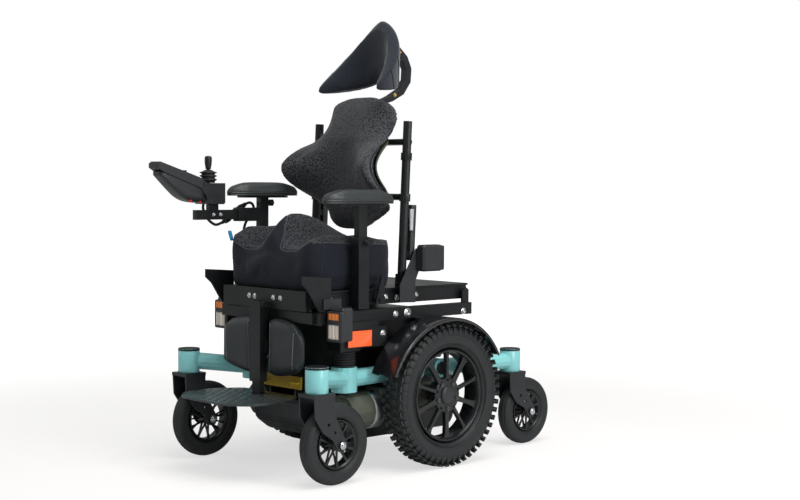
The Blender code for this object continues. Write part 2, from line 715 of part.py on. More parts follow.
def base_frame():
    """Rails, deck, spine, axle block and pivot pins, with the seat's hinge ears."""
    deck_z = RAIL_BOTTOM + 0.001
    deck_x = RAIL_INNER_X + OVERLAP
    solids = [
        box((-deck_x, RAIL_FRONT_Y + OVERLAP, deck_z),
            (deck_x, RAIL_REAR_Y - OVERLAP, deck_z + DECK_THICKNESS)),
        box((-RAIL_INNER_X - OVERLAP, RAIL_FRONT_Y - 0.008, RAIL_BOTTOM + OVERLAP),
            (RAIL_INNER_X + OVERLAP, RAIL_FRONT_Y + 2 * OVERLAP, RAIL_TOP - 0.001)),
        box((-SPINE_X, SPINE_FRONT_Y, SPINE_BOTTOM + 0.001),
            (SPINE_X, SPINE_REAR_Y, deck_z + OVERLAP)),
        box((-AXLE_BLOCK_X, AXLE_BLOCK_FRONT_Y, SPINE_BOTTOM),
            (AXLE_BLOCK_X, AXLE_BLOCK_REAR_Y, AXLE_BLOCK_TOP)),
    ]
    pin_end = ARM_X + PIVOT_HUB_LENGTH / 2 + RUNNING_GAP
    collar_end = ARM_X - PIVOT_HUB_LENGTH / 2 - RUNNING_GAP
    for y in (FRONT_PIVOT_Y, REAR_PIVOT_Y):
        solids.append(rod((-pin_end - OVERLAP, y, PIVOT_Z), (pin_end + OVERLAP, y, PIVOT_Z),
                          PIVOT_PIN_RADIUS, PIN_SIDES))
        for _, side in SIDES:
            solids.append(rod((side * (AXLE_BLOCK_X - OVERLAP), y, PIVOT_Z),
                              (side * collar_end, y, PIVOT_Z), COLLAR_RADIUS, PIN_SIDES))
            solids.append(rod((side * pin_end, y, PIVOT_Z),
                              (side * (pin_end + 0.004), y, PIVOT_Z), COLLAR_RADIUS, PIN_SIDES))
    for _, side in SIDES:
        solids.append(box((side * RAIL_INNER_X, RAIL_FRONT_Y, RAIL_BOTTOM),
                          (side * RAIL_OUTER_X, RAIL_REAR_Y, RAIL_TOP)))
        seat = ARM_RADIUS + 0.004
        solids.append(box((side * (ARM_X - seat), CUP_Y - CUP_RADIUS, BELLOWS_TOP),
                          (side * (ARM_X + seat - OVERLAP), CUP_Y + CUP_RADIUS, deck_z + OVERLAP)))
        solids.append(box((side * (REFLECTOR_X - 0.004), REFLECTOR_Y[0], REFLECTOR_Z[0] - 0.004),
                          (side * REFLECTOR_X, REFLECTOR_Y[1] + 0.055, REFLECTOR_Z[1] + 0.006)))
        solids.append(box((side * (RAIL_OUTER_X - OVERLAP), CUP_Y, REFLECTOR_Z[1]),
                          (side * (REFLECTOR_X - 0.001), CUP_Y + 0.09, RAIL_BOTTOM + 0.003)))
    channel = box((-SPINE_X + SPINE_WALL, SPINE_FRONT_Y - 0.01, SPINE_BOTTOM + SPINE_WALL),
                  (SPINE_X - SPINE_WALL, SPINE_REAR_Y - SPINE_WALL, RAIL_TOP + 0.01))
    frame = fuse(solids, [channel])
    inside = SPINE_X - SPINE_WALL / 2
    fittings = [rod((-inside, ACTUATOR_BASE_Y, ACTUATOR_BASE_Z),
                    (inside, ACTUATOR_BASE_Y, ACTUATOR_BASE_Z), ACTUATOR_PIN_RADIUS, PIN_SIDES)]
    for _, side in SIDES:
        ear = [(TILT_Y - EAR_REACH, RAIL_TOP - OVERLAP), (TILT_Y + EAR_REACH - 0.005, RAIL_TOP - OVERLAP),
               (TILT_Y + EAR_REACH - 0.005, TILT_Z + 0.008), (TILT_Y, TILT_Z + EAR_REACH),
               (TILT_Y - EAR_REACH, TILT_Z + 0.004)]
        ear_outer = SEAT_EAR_INNER_X + EAR_THICKNESS
        fittings.append(plate(ear, side * SEAT_EAR_INNER_X, side * ear_outer))
        fittings.append(rod((side * (ear_outer - OVERLAP), TILT_Y, TILT_Z),
                            (side * (SEAT_RAIL_INNER_X + OVERLAP), TILT_Y, TILT_Z),
                            TILT_PIN_RADIUS, PIN_SIDES))
    make_part("base_frame", fuse([frame, *fittings]), BLACK_PAINT)


def battery_box():
    """The sealed battery case between the wheels, stepped up at its front."""
    top = SPINE_BOTTOM - GAP
    outline = [(BATTERY_FRONT_Y, top), (BATTERY_FRONT_Y, BATTERY_BOTTOM + 0.045),
               (BATTERY_FRONT_Y + 0.045, BATTERY_BOTTOM + 0.012),
               (BATTERY_FRONT_Y + 0.10, BATTERY_BOTTOM), (BATTERY_REAR_Y - 0.02, BATTERY_BOTTOM),
               (BATTERY_REAR_Y, BATTERY_BOTTOM + 0.02), (BATTERY_REAR_Y, top)]
    case = plate(rounded(outline, 0.012, 2), -BATTERY_X, BATTERY_X)
    make_part("battery_box", case, BLACK_PLASTIC)


def drive_motors():
    """Each motor lies along the chair, with its gearbox and wheel shaft behind it."""
    shaft_end = DRIVE_X + DRIVE_RIM_WIDTH / 2 - DRIVE_SPOKE_INSET - DRIVE_SPOKE_DEPTH - RUNNING_GAP
    for side_name, side in SIDES:
        x = side * MOTOR_X
        motor = fuse([
            rod((x, MOTOR_FRONT_Y, MOTOR_Z), (x, MOTOR_REAR_Y, MOTOR_Z), MOTOR_RADIUS),
            rod((x, MOTOR_FRONT_Y - 0.006, MOTOR_Z), (x, MOTOR_FRONT_Y + OVERLAP, MOTOR_Z),
                MOTOR_RADIUS * 0.8),
            box((side * (AXLE_BLOCK_X + GAP), MOTOR_REAR_Y - OVERLAP, GEARBOX_BOTTOM),
                (side * GEARBOX_OUTER_X, GEARBOX_REAR_Y, GEARBOX_TOP), 0.006),
            rod((side * (GEARBOX_OUTER_X - OVERLAP), 0, DRIVE_RADIUS),
                (side * (GEARBOX_OUTER_X + 0.012), 0, DRIVE_RADIUS), AXLE_RADIUS * 1.6, PIN_SIDES),
            rod((side * (GEARBOX_OUTER_X - OVERLAP), 0, DRIVE_RADIUS),
                (side * shaft_end, 0, DRIVE_RADIUS), AXLE_RADIUS, PIN_SIDES),
        ])
        make_part("drive_motor_" + side_name, motor, OLIVE_PAINT)


def power_controller():
    """The power module under the rear of the deck."""
    case = box((-0.09, SPINE_REAR_Y + 0.006, 0.24), (0.09, RAIL_REAR_Y - 0.004, RAIL_BOTTOM + 0.001 - GAP),
               0.005)
    make_part("power_controller", case, BLACK_PLASTIC)


def fender_arc(inner, outer, trim=0.0):
    """An arc about the axle that opens out towards the front, trimmed at its ends."""
    def point(turn, radius):
        opening = 0.016 * max(0.0, (turn - 90) / 72) ** 2
        angle = math.radians(turn)
        return ((radius + opening) * math.cos(angle), DRIVE_RADIUS + (radius + opening) * math.sin(angle))
    first, last = FENDER_REAR_ANGLE + trim, FENDER_FRONT_ANGLE - trim
    turns = [first + (last - first) * k / FENDER_CELLS for k in range(FENDER_CELLS + 1)]
    return [point(turn, outer) for turn in turns] + [point(turn, inner) for turn in reversed(turns)]


def fenders():
    """Each fender: an arched sheet with an inner wall and a tab to the rail."""
    inside = DRIVE_RADIUS + FENDER_GAP
    outside = inside + FENDER_THICKNESS
    for side_name, side in SIDES:
        fender = fuse([
            plate(fender_arc(inside, outside), side * FENDER_INNER_X, side * FENDER_OUTER_X),
            plate(fender_arc(inside - FENDER_WALL_DEPTH, inside + 0.001, 1.0),
                  side * (FENDER_INNER_X + 0.0005), side * (FENDER_INNER_X + FENDER_THICKNESS)),
            box((side * (RAIL_OUTER_X + GAP), -0.05, RAIL_BOTTOM + 0.0015),
                (side * (FENDER_INNER_X + 0.004), 0.02, DRIVE_RADIUS + outside - 0.0015)),
        ])
        make_part("fender_" + side_name, fender, BLACK_GLOSS)


def tie_down_bracket():
    """The plate across the front of the spine with its two U-shaped tie-down loops."""
    back = SPINE_FRONT_Y - GAP
    front = back - BRACKET_THICKNESS
    reach = RING_X[1] + RING_RADIUS + OVERLAP
    solids = [box((-reach, front, RING_Z - BRACKET_HEIGHT / 2), (reach, back, RING_Z + BRACKET_HEIGHT / 2))]
    for _, side in SIDES:
        near, far = (side * x for x in RING_X)
        tip, turn = front - RING_LENGTH, side * RING_CORNER
        route = [(near, front + OVERLAP, RING_Z), (near, tip + RING_CORNER, RING_Z), (near + turn, tip, RING_Z),
                 (far - turn, tip, RING_Z), (far, tip + RING_CORNER, RING_Z), (far, front + OVERLAP, RING_Z)]
        solids.append(bar(route, RING_RADIUS, 1))
    make_part("tie_down_bracket", fuse(solids), YELLOW_PAINT)


base_frame()
battery_box()
drive_motors()
power_controller()
fenders()
tie_down_bracket()


# Seat frame
LIGHT_TAB = 0.004
LIGHT_TAB_Z = (0.396, 0.420)
LENS_DEPTH = 0.0075
FRONT_LIGHT_OUTER_X = 0.240
FRONT_LIGHT_Z = (0.324, 0.401)
FRONT_LIGHT_REAR_Y = -0.2845
FRONT_TAB_Y = (-0.334, -0.280)
FRONT_LENS_Y = -0.318
FRONT_LENS_TOP = 0.393
REAR_LIGHT_OUTER_X = 0.214
REAR_LIGHT_Z = (0.474, 0.539)
REAR_LENS_Y = 0.033
LATCH_Y = -0.148
LATCH_Z = 0.408
LATCH_PIN_RADIUS = 0.004
RECLINE_PIN_RADIUS = 0.005
RECLINE_LUG = 0.010
LEG_PIN_RADIUS = 0.004
REAR_LIGHT_X = 0.182
REAR_LIGHT_BOLT_Y = -0.055
REAR_LIGHT_BOLT_Z = 0.415


def post_box(side, grow, bottom, top, lift=0.0):
    """A box round an armrest post, larger than it by a given amount on each side."""
    reach_x = POST_WIDTH / 2 + grow
    reach_y = POST_DEPTH / 2 + grow
    return box((side * POST_X - reach_x, POST_Y - reach_y, bottom + lift),
               (side * POST_X + reach_x, POST_Y + reach_y, top + lift))


def seat_frame():
    """Pan, rails, front plates, armrest sleeves and the ears of everything hinged to the seat."""
    pan_x = SEAT_RAIL_OUTER_X + 2 * OVERLAP
    solids = [
        box((-pan_x, PAN_FRONT_Y, PAN_BOTTOM - 0.001), (pan_x, SEAT_REAR_Y, PAN_TOP)),
        box((-FRONT_PLATE_X, PAN_FRONT_Y - FRONT_PLATE_THICKNESS - OVERLAP, FRONT_PLATE_BOTTOM),
            (FRONT_PLATE_X, PAN_FRONT_Y + OVERLAP, PAN_TOP + 0.001)),
    ]
    cuts = []
    front_face = PAN_FRONT_Y - FRONT_PLATE_THICKNESS - OVERLAP
    bracket = [(-0.394, 0.475), (-0.307, 0.469), (-0.309, 0.392), (-0.343, 0.390), (-0.376, 0.440),
               (-0.394, 0.455)]
    ear = [(LEG_HINGE_Y - 0.009, LEG_HINGE_Z + 0.004), (LEG_HINGE_Y - 0.009, LEG_HINGE_Z - 0.006),
           (front_face + OVERLAP, FRONT_PLATE_BOTTOM + 0.001), (front_face + OVERLAP, LEG_HINGE_Z + 0.006),
           (LEG_HINGE_Y, LEG_HINGE_Z + 0.007)]
    recline_ear = [(RECLINE_Y - 0.012, PAN_TOP - OVERLAP), (RECLINE_Y + 0.012, PAN_TOP - OVERLAP),
                   (RECLINE_Y + 0.010, RECLINE_Z + 0.010), (RECLINE_Y - 0.010, RECLINE_Z + 0.010)]
    actuator_ear = [(ACTUATOR_SEAT_Y - 0.016, PAN_BOTTOM + 0.001), (ACTUATOR_SEAT_Y - 0.010, 0.380),
                    (ACTUATOR_SEAT_Y + 0.010, 0.380), (ACTUATOR_SEAT_Y + 0.016, PAN_BOTTOM + 0.001)]
    for _, side in SIDES:
        rail_outer = side * (SEAT_RAIL_OUTER_X - OVERLAP)
        solids += [
            box((side * SEAT_RAIL_INNER_X, PAN_FRONT_Y + OVERLAP / 2, SEAT_RAIL_BOTTOM),
                (side * SEAT_RAIL_OUTER_X, SEAT_REAR_Y - OVERLAP, SEAT_RAIL_TOP)),
            plate(bracket, side * (SIDE_PLATE_X - SIDE_PLATE_THICKNESS / 2),
                  side * (SIDE_PLATE_X + SIDE_PLATE_THICKNESS / 2)),
            box((rail_outer, -0.340, 0.400), (side * SIDE_PLATE_X, -0.316, 0.425)),
            plate(ear, side * (MAST_X + RUNNING_GAP), side * (MAST_X + RUNNING_GAP + 0.005)),
            plate(recline_ear, side * (CANE_X - RECLINE_LUG / 2 - RUNNING_GAP),
                  side * (CANE_X - RECLINE_LUG / 2 - RUNNING_GAP - 0.006)),
            rod((side * (CANE_X - RECLINE_LUG / 2 - RUNNING_GAP - 0.003), RECLINE_Y, RECLINE_Z),
                (side * (CANE_X + RECLINE_LUG / 2 + OVERLAP), RECLINE_Y, RECLINE_Z),
                RECLINE_PIN_RADIUS, PIN_SIDES),
            plate(actuator_ear, side * 0.012, side * 0.017),
            post_box(side, GAP + POST_SLEEVE_WALL, POST_SLEEVE_BOTTOM, POST_SLEEVE_TOP),
            post_box(side, GAP + 2 * POST_SLEEVE_WALL, POST_SLEEVE_TOP - 0.018, POST_SLEEVE_TOP - 0.002),
            box((rail_outer, POST_Y - 0.015, 0.398), (side * (POST_X - 0.008), POST_Y + 0.015, 0.430)),
            rod((side * (POST_X + 0.012), POST_Y, POST_SLEEVE_TOP - 0.010),
                (side * (POST_X + 0.034), POST_Y, POST_SLEEVE_TOP - 0.010), 0.009, PIN_SIDES),
            rod((rail_outer, REAR_LIGHT_BOLT_Y, REAR_LIGHT_BOLT_Z),
                (side * (REAR_LIGHT_X - GAP), REAR_LIGHT_BOLT_Y, REAR_LIGHT_BOLT_Z), 0.008, PIN_SIDES),
        ]
        cuts.append(post_box(side, GAP, POST_SLEEVE_BOTTOM + 0.006, POST_SLEEVE_TOP + 0.010))
        cuts.append(bore((side * (SEAT_RAIL_INNER_X - 0.01), TILT_Y, TILT_Z),
                         (side * (SEAT_RAIL_OUTER_X + 0.01), TILT_Y, TILT_Z), TILT_PIN_RADIUS))
    solids.append(rod((-MAST_X - 0.004, LEG_HINGE_Y, LEG_HINGE_Z), (MAST_X + 0.004, LEG_HINGE_Y, LEG_HINGE_Z),
                      LEG_PIN_RADIUS, PIN_SIDES))
    solids.append(rod((SEAT_RAIL_OUTER_X - OVERLAP, LATCH_Y, LATCH_Z), (0.186, LATCH_Y, LATCH_Z),
                      LATCH_PIN_RADIUS, PIN_SIDES))
    make_part("seat_frame", fuse(solids, cuts), BLACK_PAINT)


def front_lights():
    """The lamps on the seat's front side plates, each a housing with its lens and bolt."""
    outside = SIDE_PLATE_X + SIDE_PLATE_THICKNESS / 2 + GAP
    for side_name, side in SIDES:
        near, far = side * (outside + OVERLAP), side * FRONT_LIGHT_OUTER_X
        lamp = fuse([
            box((near, FRONT_LENS_Y, FRONT_LIGHT_Z[0]), (far, FRONT_LIGHT_REAR_Y, FRONT_LIGHT_Z[1]), 0.004),
            box((near, FRONT_LENS_Y - LENS_DEPTH, FRONT_LIGHT_Z[0] - OVERLAP),
                (far + side * OVERLAP, FRONT_LENS_Y + LENS_DEPTH, FRONT_LENS_TOP), 0.003),
            box((side * outside, FRONT_TAB_Y[0], LIGHT_TAB_Z[0]),
                (side * (outside + LIGHT_TAB), FRONT_TAB_Y[1], LIGHT_TAB_Z[1])),
        ])
        make_part("front_light_" + side_name, lamp, AMBER_LENS)


def rear_lights():
    """The lamps beside the backrest, each a housing with its lens on a plate bolted to a seat rail."""
    arm = [(-0.086, 0.400), (-0.034, 0.398), (-0.034, 0.450), (-0.010, 0.500), (-0.010, 0.530),
           (-0.032, 0.530), (-0.086, 0.441)]
    bottom, top = REAR_LIGHT_Z
    for side_name, side in SIDES:
        near, far = side * (REAR_LIGHT_X + OVERLAP), side * REAR_LIGHT_OUTER_X
        lamp = fuse([
            plate(arm, side * REAR_LIGHT_X, side * (REAR_LIGHT_X + LIGHT_TAB)),
            box((near, -REAR_LENS_Y, bottom), (far, REAR_LENS_Y, top), 0.005),
            box((near + side * 0.001, REAR_LENS_Y - LENS_DEPTH, bottom + OVERLAP),
                (far - side * 0.001, REAR_LENS_Y + LENS_DEPTH, top - OVERLAP), 0.003),
        ])
        make_part("rear_light_" + side_name, lamp, RED_LENS)


def latch_lever():
    """The small lever on the left seat rail."""
    outline = rounded([(-0.163, 0.399), (-0.133, 0.399), (-0.136, 0.467), (-0.143, 0.467)], 0.004, 2)
    hole = circle((LATCH_Y, LATCH_Z), LATCH_PIN_RADIUS / math.cos(math.pi / PIN_SIDES) + GAP, PIN_SIDES)
    lever = plate(outline, SEAT_RAIL_OUTER_X + 0.0145, SEAT_RAIL_OUTER_X + 0.0195, "X", [hole])
    make_part("latch_lever", lever, BLACK_PAINT, (0.0, LATCH_Y, LATCH_Z))


def tilt_actuator():
    """The body on the base's pin, and the rod that runs out of it towards the seat."""
    foot = Vector((0.0, ACTUATOR_BASE_Y, ACTUATOR_BASE_Z))
    head = Vector((0.0, ACTUATOR_SEAT_Y, ACTUATOR_SEAT_Z))
    along = (head - foot).normalized()
    length = (head - foot).length
    body = fuse([
        rod(foot + along * 0.016, foot + along * (length - 0.052), ACTUATOR_RADIUS),
        rod(foot - Vector((0.012, 0, 0)), foot + Vector((0.012, 0, 0)), 0.013, PIN_SIDES),
        rod(foot, foot + along * 0.02, 0.010, PIN_SIDES),
    ], [
        rod(foot + along * 0.026, foot + along * length, ACTUATOR_ROD_RADIUS + GAP, PIN_SIDES),
        bore(foot - Vector((0.02, 0, 0)), foot + Vector((0.02, 0, 0)), ACTUATOR_PIN_RADIUS),
    ])
    make_part("tilt_actuator_body", body, DARK_STEEL, foot)
    piston = fuse([
        rod(foot + along * 0.030, head, ACTUATOR_ROD_RADIUS, PIN_SIDES),
        rod(head - Vector((0.009, 0, 0)), head + Vector((0.009, 0, 0)), 0.012, PIN_SIDES),
    ])
    make_part("tilt_actuator_rod", piston, STEEL, head)


seat_frame()
front_lights()
rear_lights()
latch_lever()
tilt_actuator()


# Soft forms
def bump(value, centre, width):
    """A smooth hill of height one."""
    return math.exp(-((value - centre) / width) ** 2)


def between(value, table):
    """The value read from a table of (place, value) pairs, joined by straight lines."""
    for (low, first), (high, second) in zip(table, table[1:]):
        if value <= high:
            share = max(0.0, (value - low) / (high - low))
            return first + (second - first) * share
    return table[-1][1]


def edge_drop(u, v, depth, reach=0.75):
    """How far a crowned face falls towards the edges of its square."""
    out = max(0.0, (max(abs(u), abs(v)) - reach) / (1 - reach))
    return depth * out ** 2


def cushion_top(x, y):
    """The height of the seat cushion: leg channels, a ridge between them and raised sides."""
    ridge = 0.080 * bump(x, 0.0, 0.024) * bump(y, -0.315, 0.075)
    sides = 0.052 * (bump(x, 0.122, 0.032) + bump(x, -0.122, 0.032)) * bump(y, -0.262, 0.085)
    return 0.530 + ridge + sides + 0.016 * abs(x / CUSHION_X) ** 4


def seat_cushion():
    """The shaped seat cushion, drawn in at its top and bottom seams."""
    middle = (CUSHION_FRONT_Y + CUSHION_REAR_Y) / 2
    half = (CUSHION_REAR_Y - CUSHION_FRONT_Y) / 2

    def shape(u, v, w):
        drawn_in = 1 - 0.03 * w * w
        x, y = u * CUSHION_X * drawn_in, middle + v * half * drawn_in
        top = cushion_top(x, y) - edge_drop(u, v, 0.010)
        return x, y, CUSHION_BOTTOM + (top - CUSHION_BOTTOM) * (w + 1) / 2

    make_part("seat_cushion", block((14, 9, 3), shape), NAVY_FABRIC)


BACK_HALF_WIDTH = [(0.572, 0.056), (0.605, 0.088), (0.638, 0.122), (0.672, 0.146), (0.705, 0.153),
                   (0.738, 0.152), (0.772, 0.140), (0.805, 0.120), (0.855, 0.112), (0.888, 0.096),
                   (0.905, 0.058)]
BACK_CURL = [(0.572, -0.020), (0.616, -0.030), (0.642, 0.004), (0.672, 0.036), (0.705, 0.058),
             (0.738, 0.062), (0.772, 0.044), (0.805, 0.000), (0.855, -0.026), (0.905, -0.010)]
BACK_FACE_Y = -0.0605
BACK_THICKNESS = 0.045
BACK_LEAN_START = 0.800
BACK_LEAN = 0.35
BACK_LEVELS = 10
SHELL_LEVELS = (2, 7)
SHELL_THICKNESS = 0.004
SHELL_GAP = 0.0008


def back_point(u, level):
    """A point on the rear face of the back cushion, where the side wings curl forward."""
    z = BACK_BOTTOM + (BACK_TOP - BACK_BOTTOM) * level
    x = u * between(z, BACK_HALF_WIDTH)
    y = BACK_FACE_Y + BACK_LEAN * max(0.0, z - BACK_LEAN_START)
    return x, y - between(z, BACK_CURL) * abs(x / 0.12) ** 2.2, z


def back_cushion():
    """The winged back cushion."""
    def shape(u, v, w):
        x, y, z = back_point(u, (w + 1) / 2)
        thickness = BACK_THICKNESS - edge_drop(u, w, 0.026, 0.45)
        return x, y - thickness * (1 - v) / 2, z

    make_part("back_cushion", block((10, 1, BACK_LEVELS), shape), NAVY_FABRIC)


def back_shell():
    """The shell that carries the back cushion."""
    low, high = (level / BACK_LEVELS for level in SHELL_LEVELS)

    def shape(u, v, w):
        x, y, z = back_point(u * 0.8, low + (high - low) * (w + 1) / 2)
        return x, y + SHELL_GAP + SHELL_THICKNESS * (1 + v) / 2, z

    shell = block((8, 1, SHELL_LEVELS[1] - SHELL_LEVELS[0]), shape)
    make_part("back_shell", shell, OLIVE_PAINT)


def shell_rear_y(z):
    """Where the middle of the shell's rear face lies at a height."""
    levels = [back_point(0.0, k / BACK_LEVELS) for k in range(BACK_LEVELS + 1)]
    return between(z, [(point[2], point[1]) for point in levels]) + SHELL_GAP + SHELL_THICKNESS


def cane_y(z):
    """Where a cane's line lies at a height."""
    return RECLINE_Y + CANE_LEAN * (z - RECLINE_Z)


def back_frame():
    """The two canes with their lugs, struts, clamps, cross bars and the headrest's guide."""
    solids, cuts = [], []
    for _, side in SIDES:
        x = side * CANE_X
        lug_low, lug_high = RECLINE_Z - 0.010, RECLINE_Z + 0.026
        lug = [(RECLINE_Y - 0.010, lug_low), (RECLINE_Y + 0.010, lug_low),
               (cane_y(lug_high) + 0.010, lug_high), (cane_y(lug_high) - 0.010, lug_high)]
        solids.append(rod((x, cane_y(RECLINE_Z + 0.016), RECLINE_Z + 0.016), (x, cane_y(CANE_TOP), CANE_TOP),
                          CANE_RADIUS, TUBE_SIDES))
        solids.append(plate(lug, x - RECLINE_LUG / 2, x + RECLINE_LUG / 2))
        strut = 0.0255
        solids.append(rod((x, cane_y(0.500) + strut, 0.500), (x, cane_y(0.636) + strut, 0.636),
                          CANE_RADIUS, PIN_SIDES))
        for z in (0.515, 0.612):
            solids.append(box((x - 0.006, cane_y(z) - 0.004, z - 0.007), (x + 0.006, cane_y(z) + strut, z + 0.007)))
        for z in (0.645, 0.745):
            solids.append(rod((x, cane_y(z), z), (x, cane_y(z + 0.018), z + 0.018), CANE_RADIUS + 0.003,
                              TUBE_SIDES))
        cuts.append(bore((x - 0.012, RECLINE_Y, RECLINE_Z), (x + 0.012, RECLINE_Y, RECLINE_Z),
                         RECLINE_PIN_RADIUS))
    for z in (0.655, 0.790):
        y = cane_y(z) + 0.010
        solids.append(rod((-CANE_X, y, z), (CANE_X, y, z), 0.008, PIN_SIDES))
        seat = shell_rear_y(z + 0.006) + GAP
        solids.append(box((-0.010, seat, z - 0.006), (0.010, y, z + 0.006)))
    guide_front = cane_y(0.790) + 0.012
    bar_x, bar_y = HEADREST_BAR_WIDTH / 2, HEADREST_BAR_DEPTH / 2
    solids.append(box((-bar_x - 0.006, guide_front, 0.772),
                      (bar_x + 0.006, HEADREST_BAR_Y + bar_y + 0.006, 0.808)))
    cuts.append(box((-bar_x - GAP, HEADREST_BAR_Y - bar_y - GAP, 0.76),
                    (bar_x + GAP, HEADREST_BAR_Y + bar_y + GAP, 0.82)))
    make_part("back_frame", fuse(solids, cuts), BLACK_PAINT, (0.0, RECLINE_Y, RECLINE_Z))


# Headrest
PAD_HALF_X = 0.110
PAD_ARC = math.radians(75)
PAD_CENTRE_Y = 0.022
PAD_REACH = 0.119
PAD_THICKNESS = 0.030


def strip(path, widths):
    """The outline of a strip that follows a path, with a width at each point."""
    left, right = [], []
    for index, (point, width) in enumerate(zip(path, widths)):
        before = Vector(path[max(index - 1, 0)])
        after = Vector(path[min(index + 1, len(path) - 1)])
        across = (after - before).normalized().orthogonal() * width / 2
        left.append(tuple(Vector(point) + across))
        right.append(tuple(Vector(point) - across))
    return left + right[::-1]


def headrest_bracket():
    """The bar that slides in the guide and the curved bracket above it, with the pad's pin."""
    bar_y, bar_x = HEADREST_BAR_Y, HEADREST_BAR_WIDTH / 2
    path = [(bar_y, HEADREST_BAR_BOTTOM), (bar_y, 0.868), (0.008, 0.891), (0.048, 0.905), (0.084, 0.924),
            (0.106, 0.953), (0.108, 0.984), (0.095, 1.010), (HEADREST_PIVOT_Y - 0.006, HEADREST_PIVOT_Z + 0.004)]
    widths = [HEADREST_BAR_DEPTH] * 2 + [0.011, 0.015] + [0.017] * 5
    arc = plate(strip(path, widths), -bar_x, bar_x)
    slot = box((-0.0072, HEADREST_PIVOT_Y - 0.020, HEADREST_PIVOT_Z - 0.016),
               (0.0072, HEADREST_PIVOT_Y + 0.0145, HEADREST_PIVOT_Z + 0.020))
    pin = rod((-bar_x + OVERLAP, HEADREST_PIVOT_Y, HEADREST_PIVOT_Z),
              (bar_x - OVERLAP, HEADREST_PIVOT_Y, HEADREST_PIVOT_Z), 0.004, PIN_SIDES)
    bracket = fuse([fuse([arc], [slot]), pin])
    make_part("headrest_bracket", bracket, DARK_STEEL, (0.0, HEADREST_BAR_Y, 0.790))


def headrest_pad():
    """The winged headrest pad with the lug on its back."""
    def shape(u, v, w):
        x = PAD_HALF_X * math.sin(u * PAD_ARC)
        y = PAD_CENTRE_Y - PAD_REACH * abs(u) ** 2.4
        top = 1.102 - 0.160 * abs(u) ** 1.5
        bottom = 0.944 - 0.040 * abs(u)
        thickness = PAD_THICKNESS - edge_drop(u, w, 0.016, 0.4)
        normal = Vector((PAD_HALF_X * PAD_ARC * math.cos(u * PAD_ARC),
                         -PAD_REACH * 2.4 * math.copysign(abs(u) ** 1.4, u))).normalized()
        return (x - normal.y * v * thickness / 2, y + normal.x * v * thickness / 2,
                bottom + (top - bottom) * (w + 1) / 2)

    lug = fuse([
        box((-0.006, PAD_CENTRE_Y, HEADREST_PIVOT_Z - 0.010), (0.006, HEADREST_PIVOT_Y, HEADREST_PIVOT_Z + 0.010)),
        rod((-0.0058, HEADREST_PIVOT_Y, HEADREST_PIVOT_Z), (0.0058, HEADREST_PIVOT_Y, HEADREST_PIVOT_Z), 0.0115,
            PIN_SIDES),
    ], [rod((-0.02, HEADREST_PIVOT_Y, HEADREST_PIVOT_Z), (0.02, HEADREST_PIVOT_Y, HEADREST_PIVOT_Z),
            0.004 + GAP, PIN_SIDES)])
    pad = fuse([block((10, 1, 5), shape), lug])
    make_part("headrest_pad", pad, NAVY_FABRIC, (0.0, HEADREST_PIVOT_Y, HEADREST_PIVOT_Z))


# Armrests
def armrest(side_name, side, lift):
    """The post with the plate on its top, and the domed pad above it."""
    top = PAD_BOTTOM + lift
    solids = [post_box(side, 0.0, POST_BOTTOM, PAD_BOTTOM - 0.002, lift),
              box((side * PAD_X - 0.016, PAD_FRONT_Y + 0.04, top - 0.005),
                  (side * PAD_X + 0.016, PAD_REAR_Y - 0.04, top - GAP))]
    cuts = []
    if side < 0:
        wide, tall = JOYSTICK_TUBE_WIDTH / 2 + GAP, JOYSTICK_TUBE_HEIGHT / 2 + GAP
        wall = 0.0045
        solids.append(box((side * POST_X - wide - wall, JOYSTICK_SLEEVE_FRONT_Y, JOYSTICK_TUBE_Z - tall - wall),
                          (side * POST_X + wide + wall, POST_Y - POST_DEPTH / 2 + OVERLAP,
                           JOYSTICK_TUBE_Z + tall + wall)))
        cuts.append(box((side * POST_X - wide, JOYSTICK_SLEEVE_FRONT_Y - 0.01, JOYSTICK_TUBE_Z - tall),
                        (side * POST_X + wide, JOYSTICK_TUBE_REAR_Y + 0.004, JOYSTICK_TUBE_Z + tall)))
    make_part("armrest_post_" + side_name, fuse(solids, cuts), BLACK_PAINT, (side * POST_X, POST_Y, top))
    middle, half = (PAD_FRONT_Y + PAD_REAR_Y) / 2, (PAD_REAR_Y - PAD_FRONT_Y) / 2

    def shape(u, v, w):
        round_end = 1 - 0.25 * max(0.0, abs(v) - 0.6) / 0.4
        dome = PAD_HEIGHT * (1 - 0.42 * u * u) * (1 - 0.35 * max(0.0, abs(v) - 0.5) / 0.5)
        swell = 1 - 0.04 * w * w
        return (side * PAD_X + u * PAD_WIDTH / 2 * round_end * swell, middle + v * half * (1 - 0.01 * u * u),
                top + dome * (w + 1) / 2)

    make_part("armrest_pad_" + side_name, block((6, 7, 2), shape), BLACK_VINYL, (side * PAD_X, middle, top))


seat_cushion()
back_cushion()
back_shell()
back_frame()
headrest_bracket()
headrest_pad()
for side_label, side_sign in SIDES:
    armrest(side_label, side_sign, 0.0 if side_sign > 0 else RIGHT_PAD_LIFT)


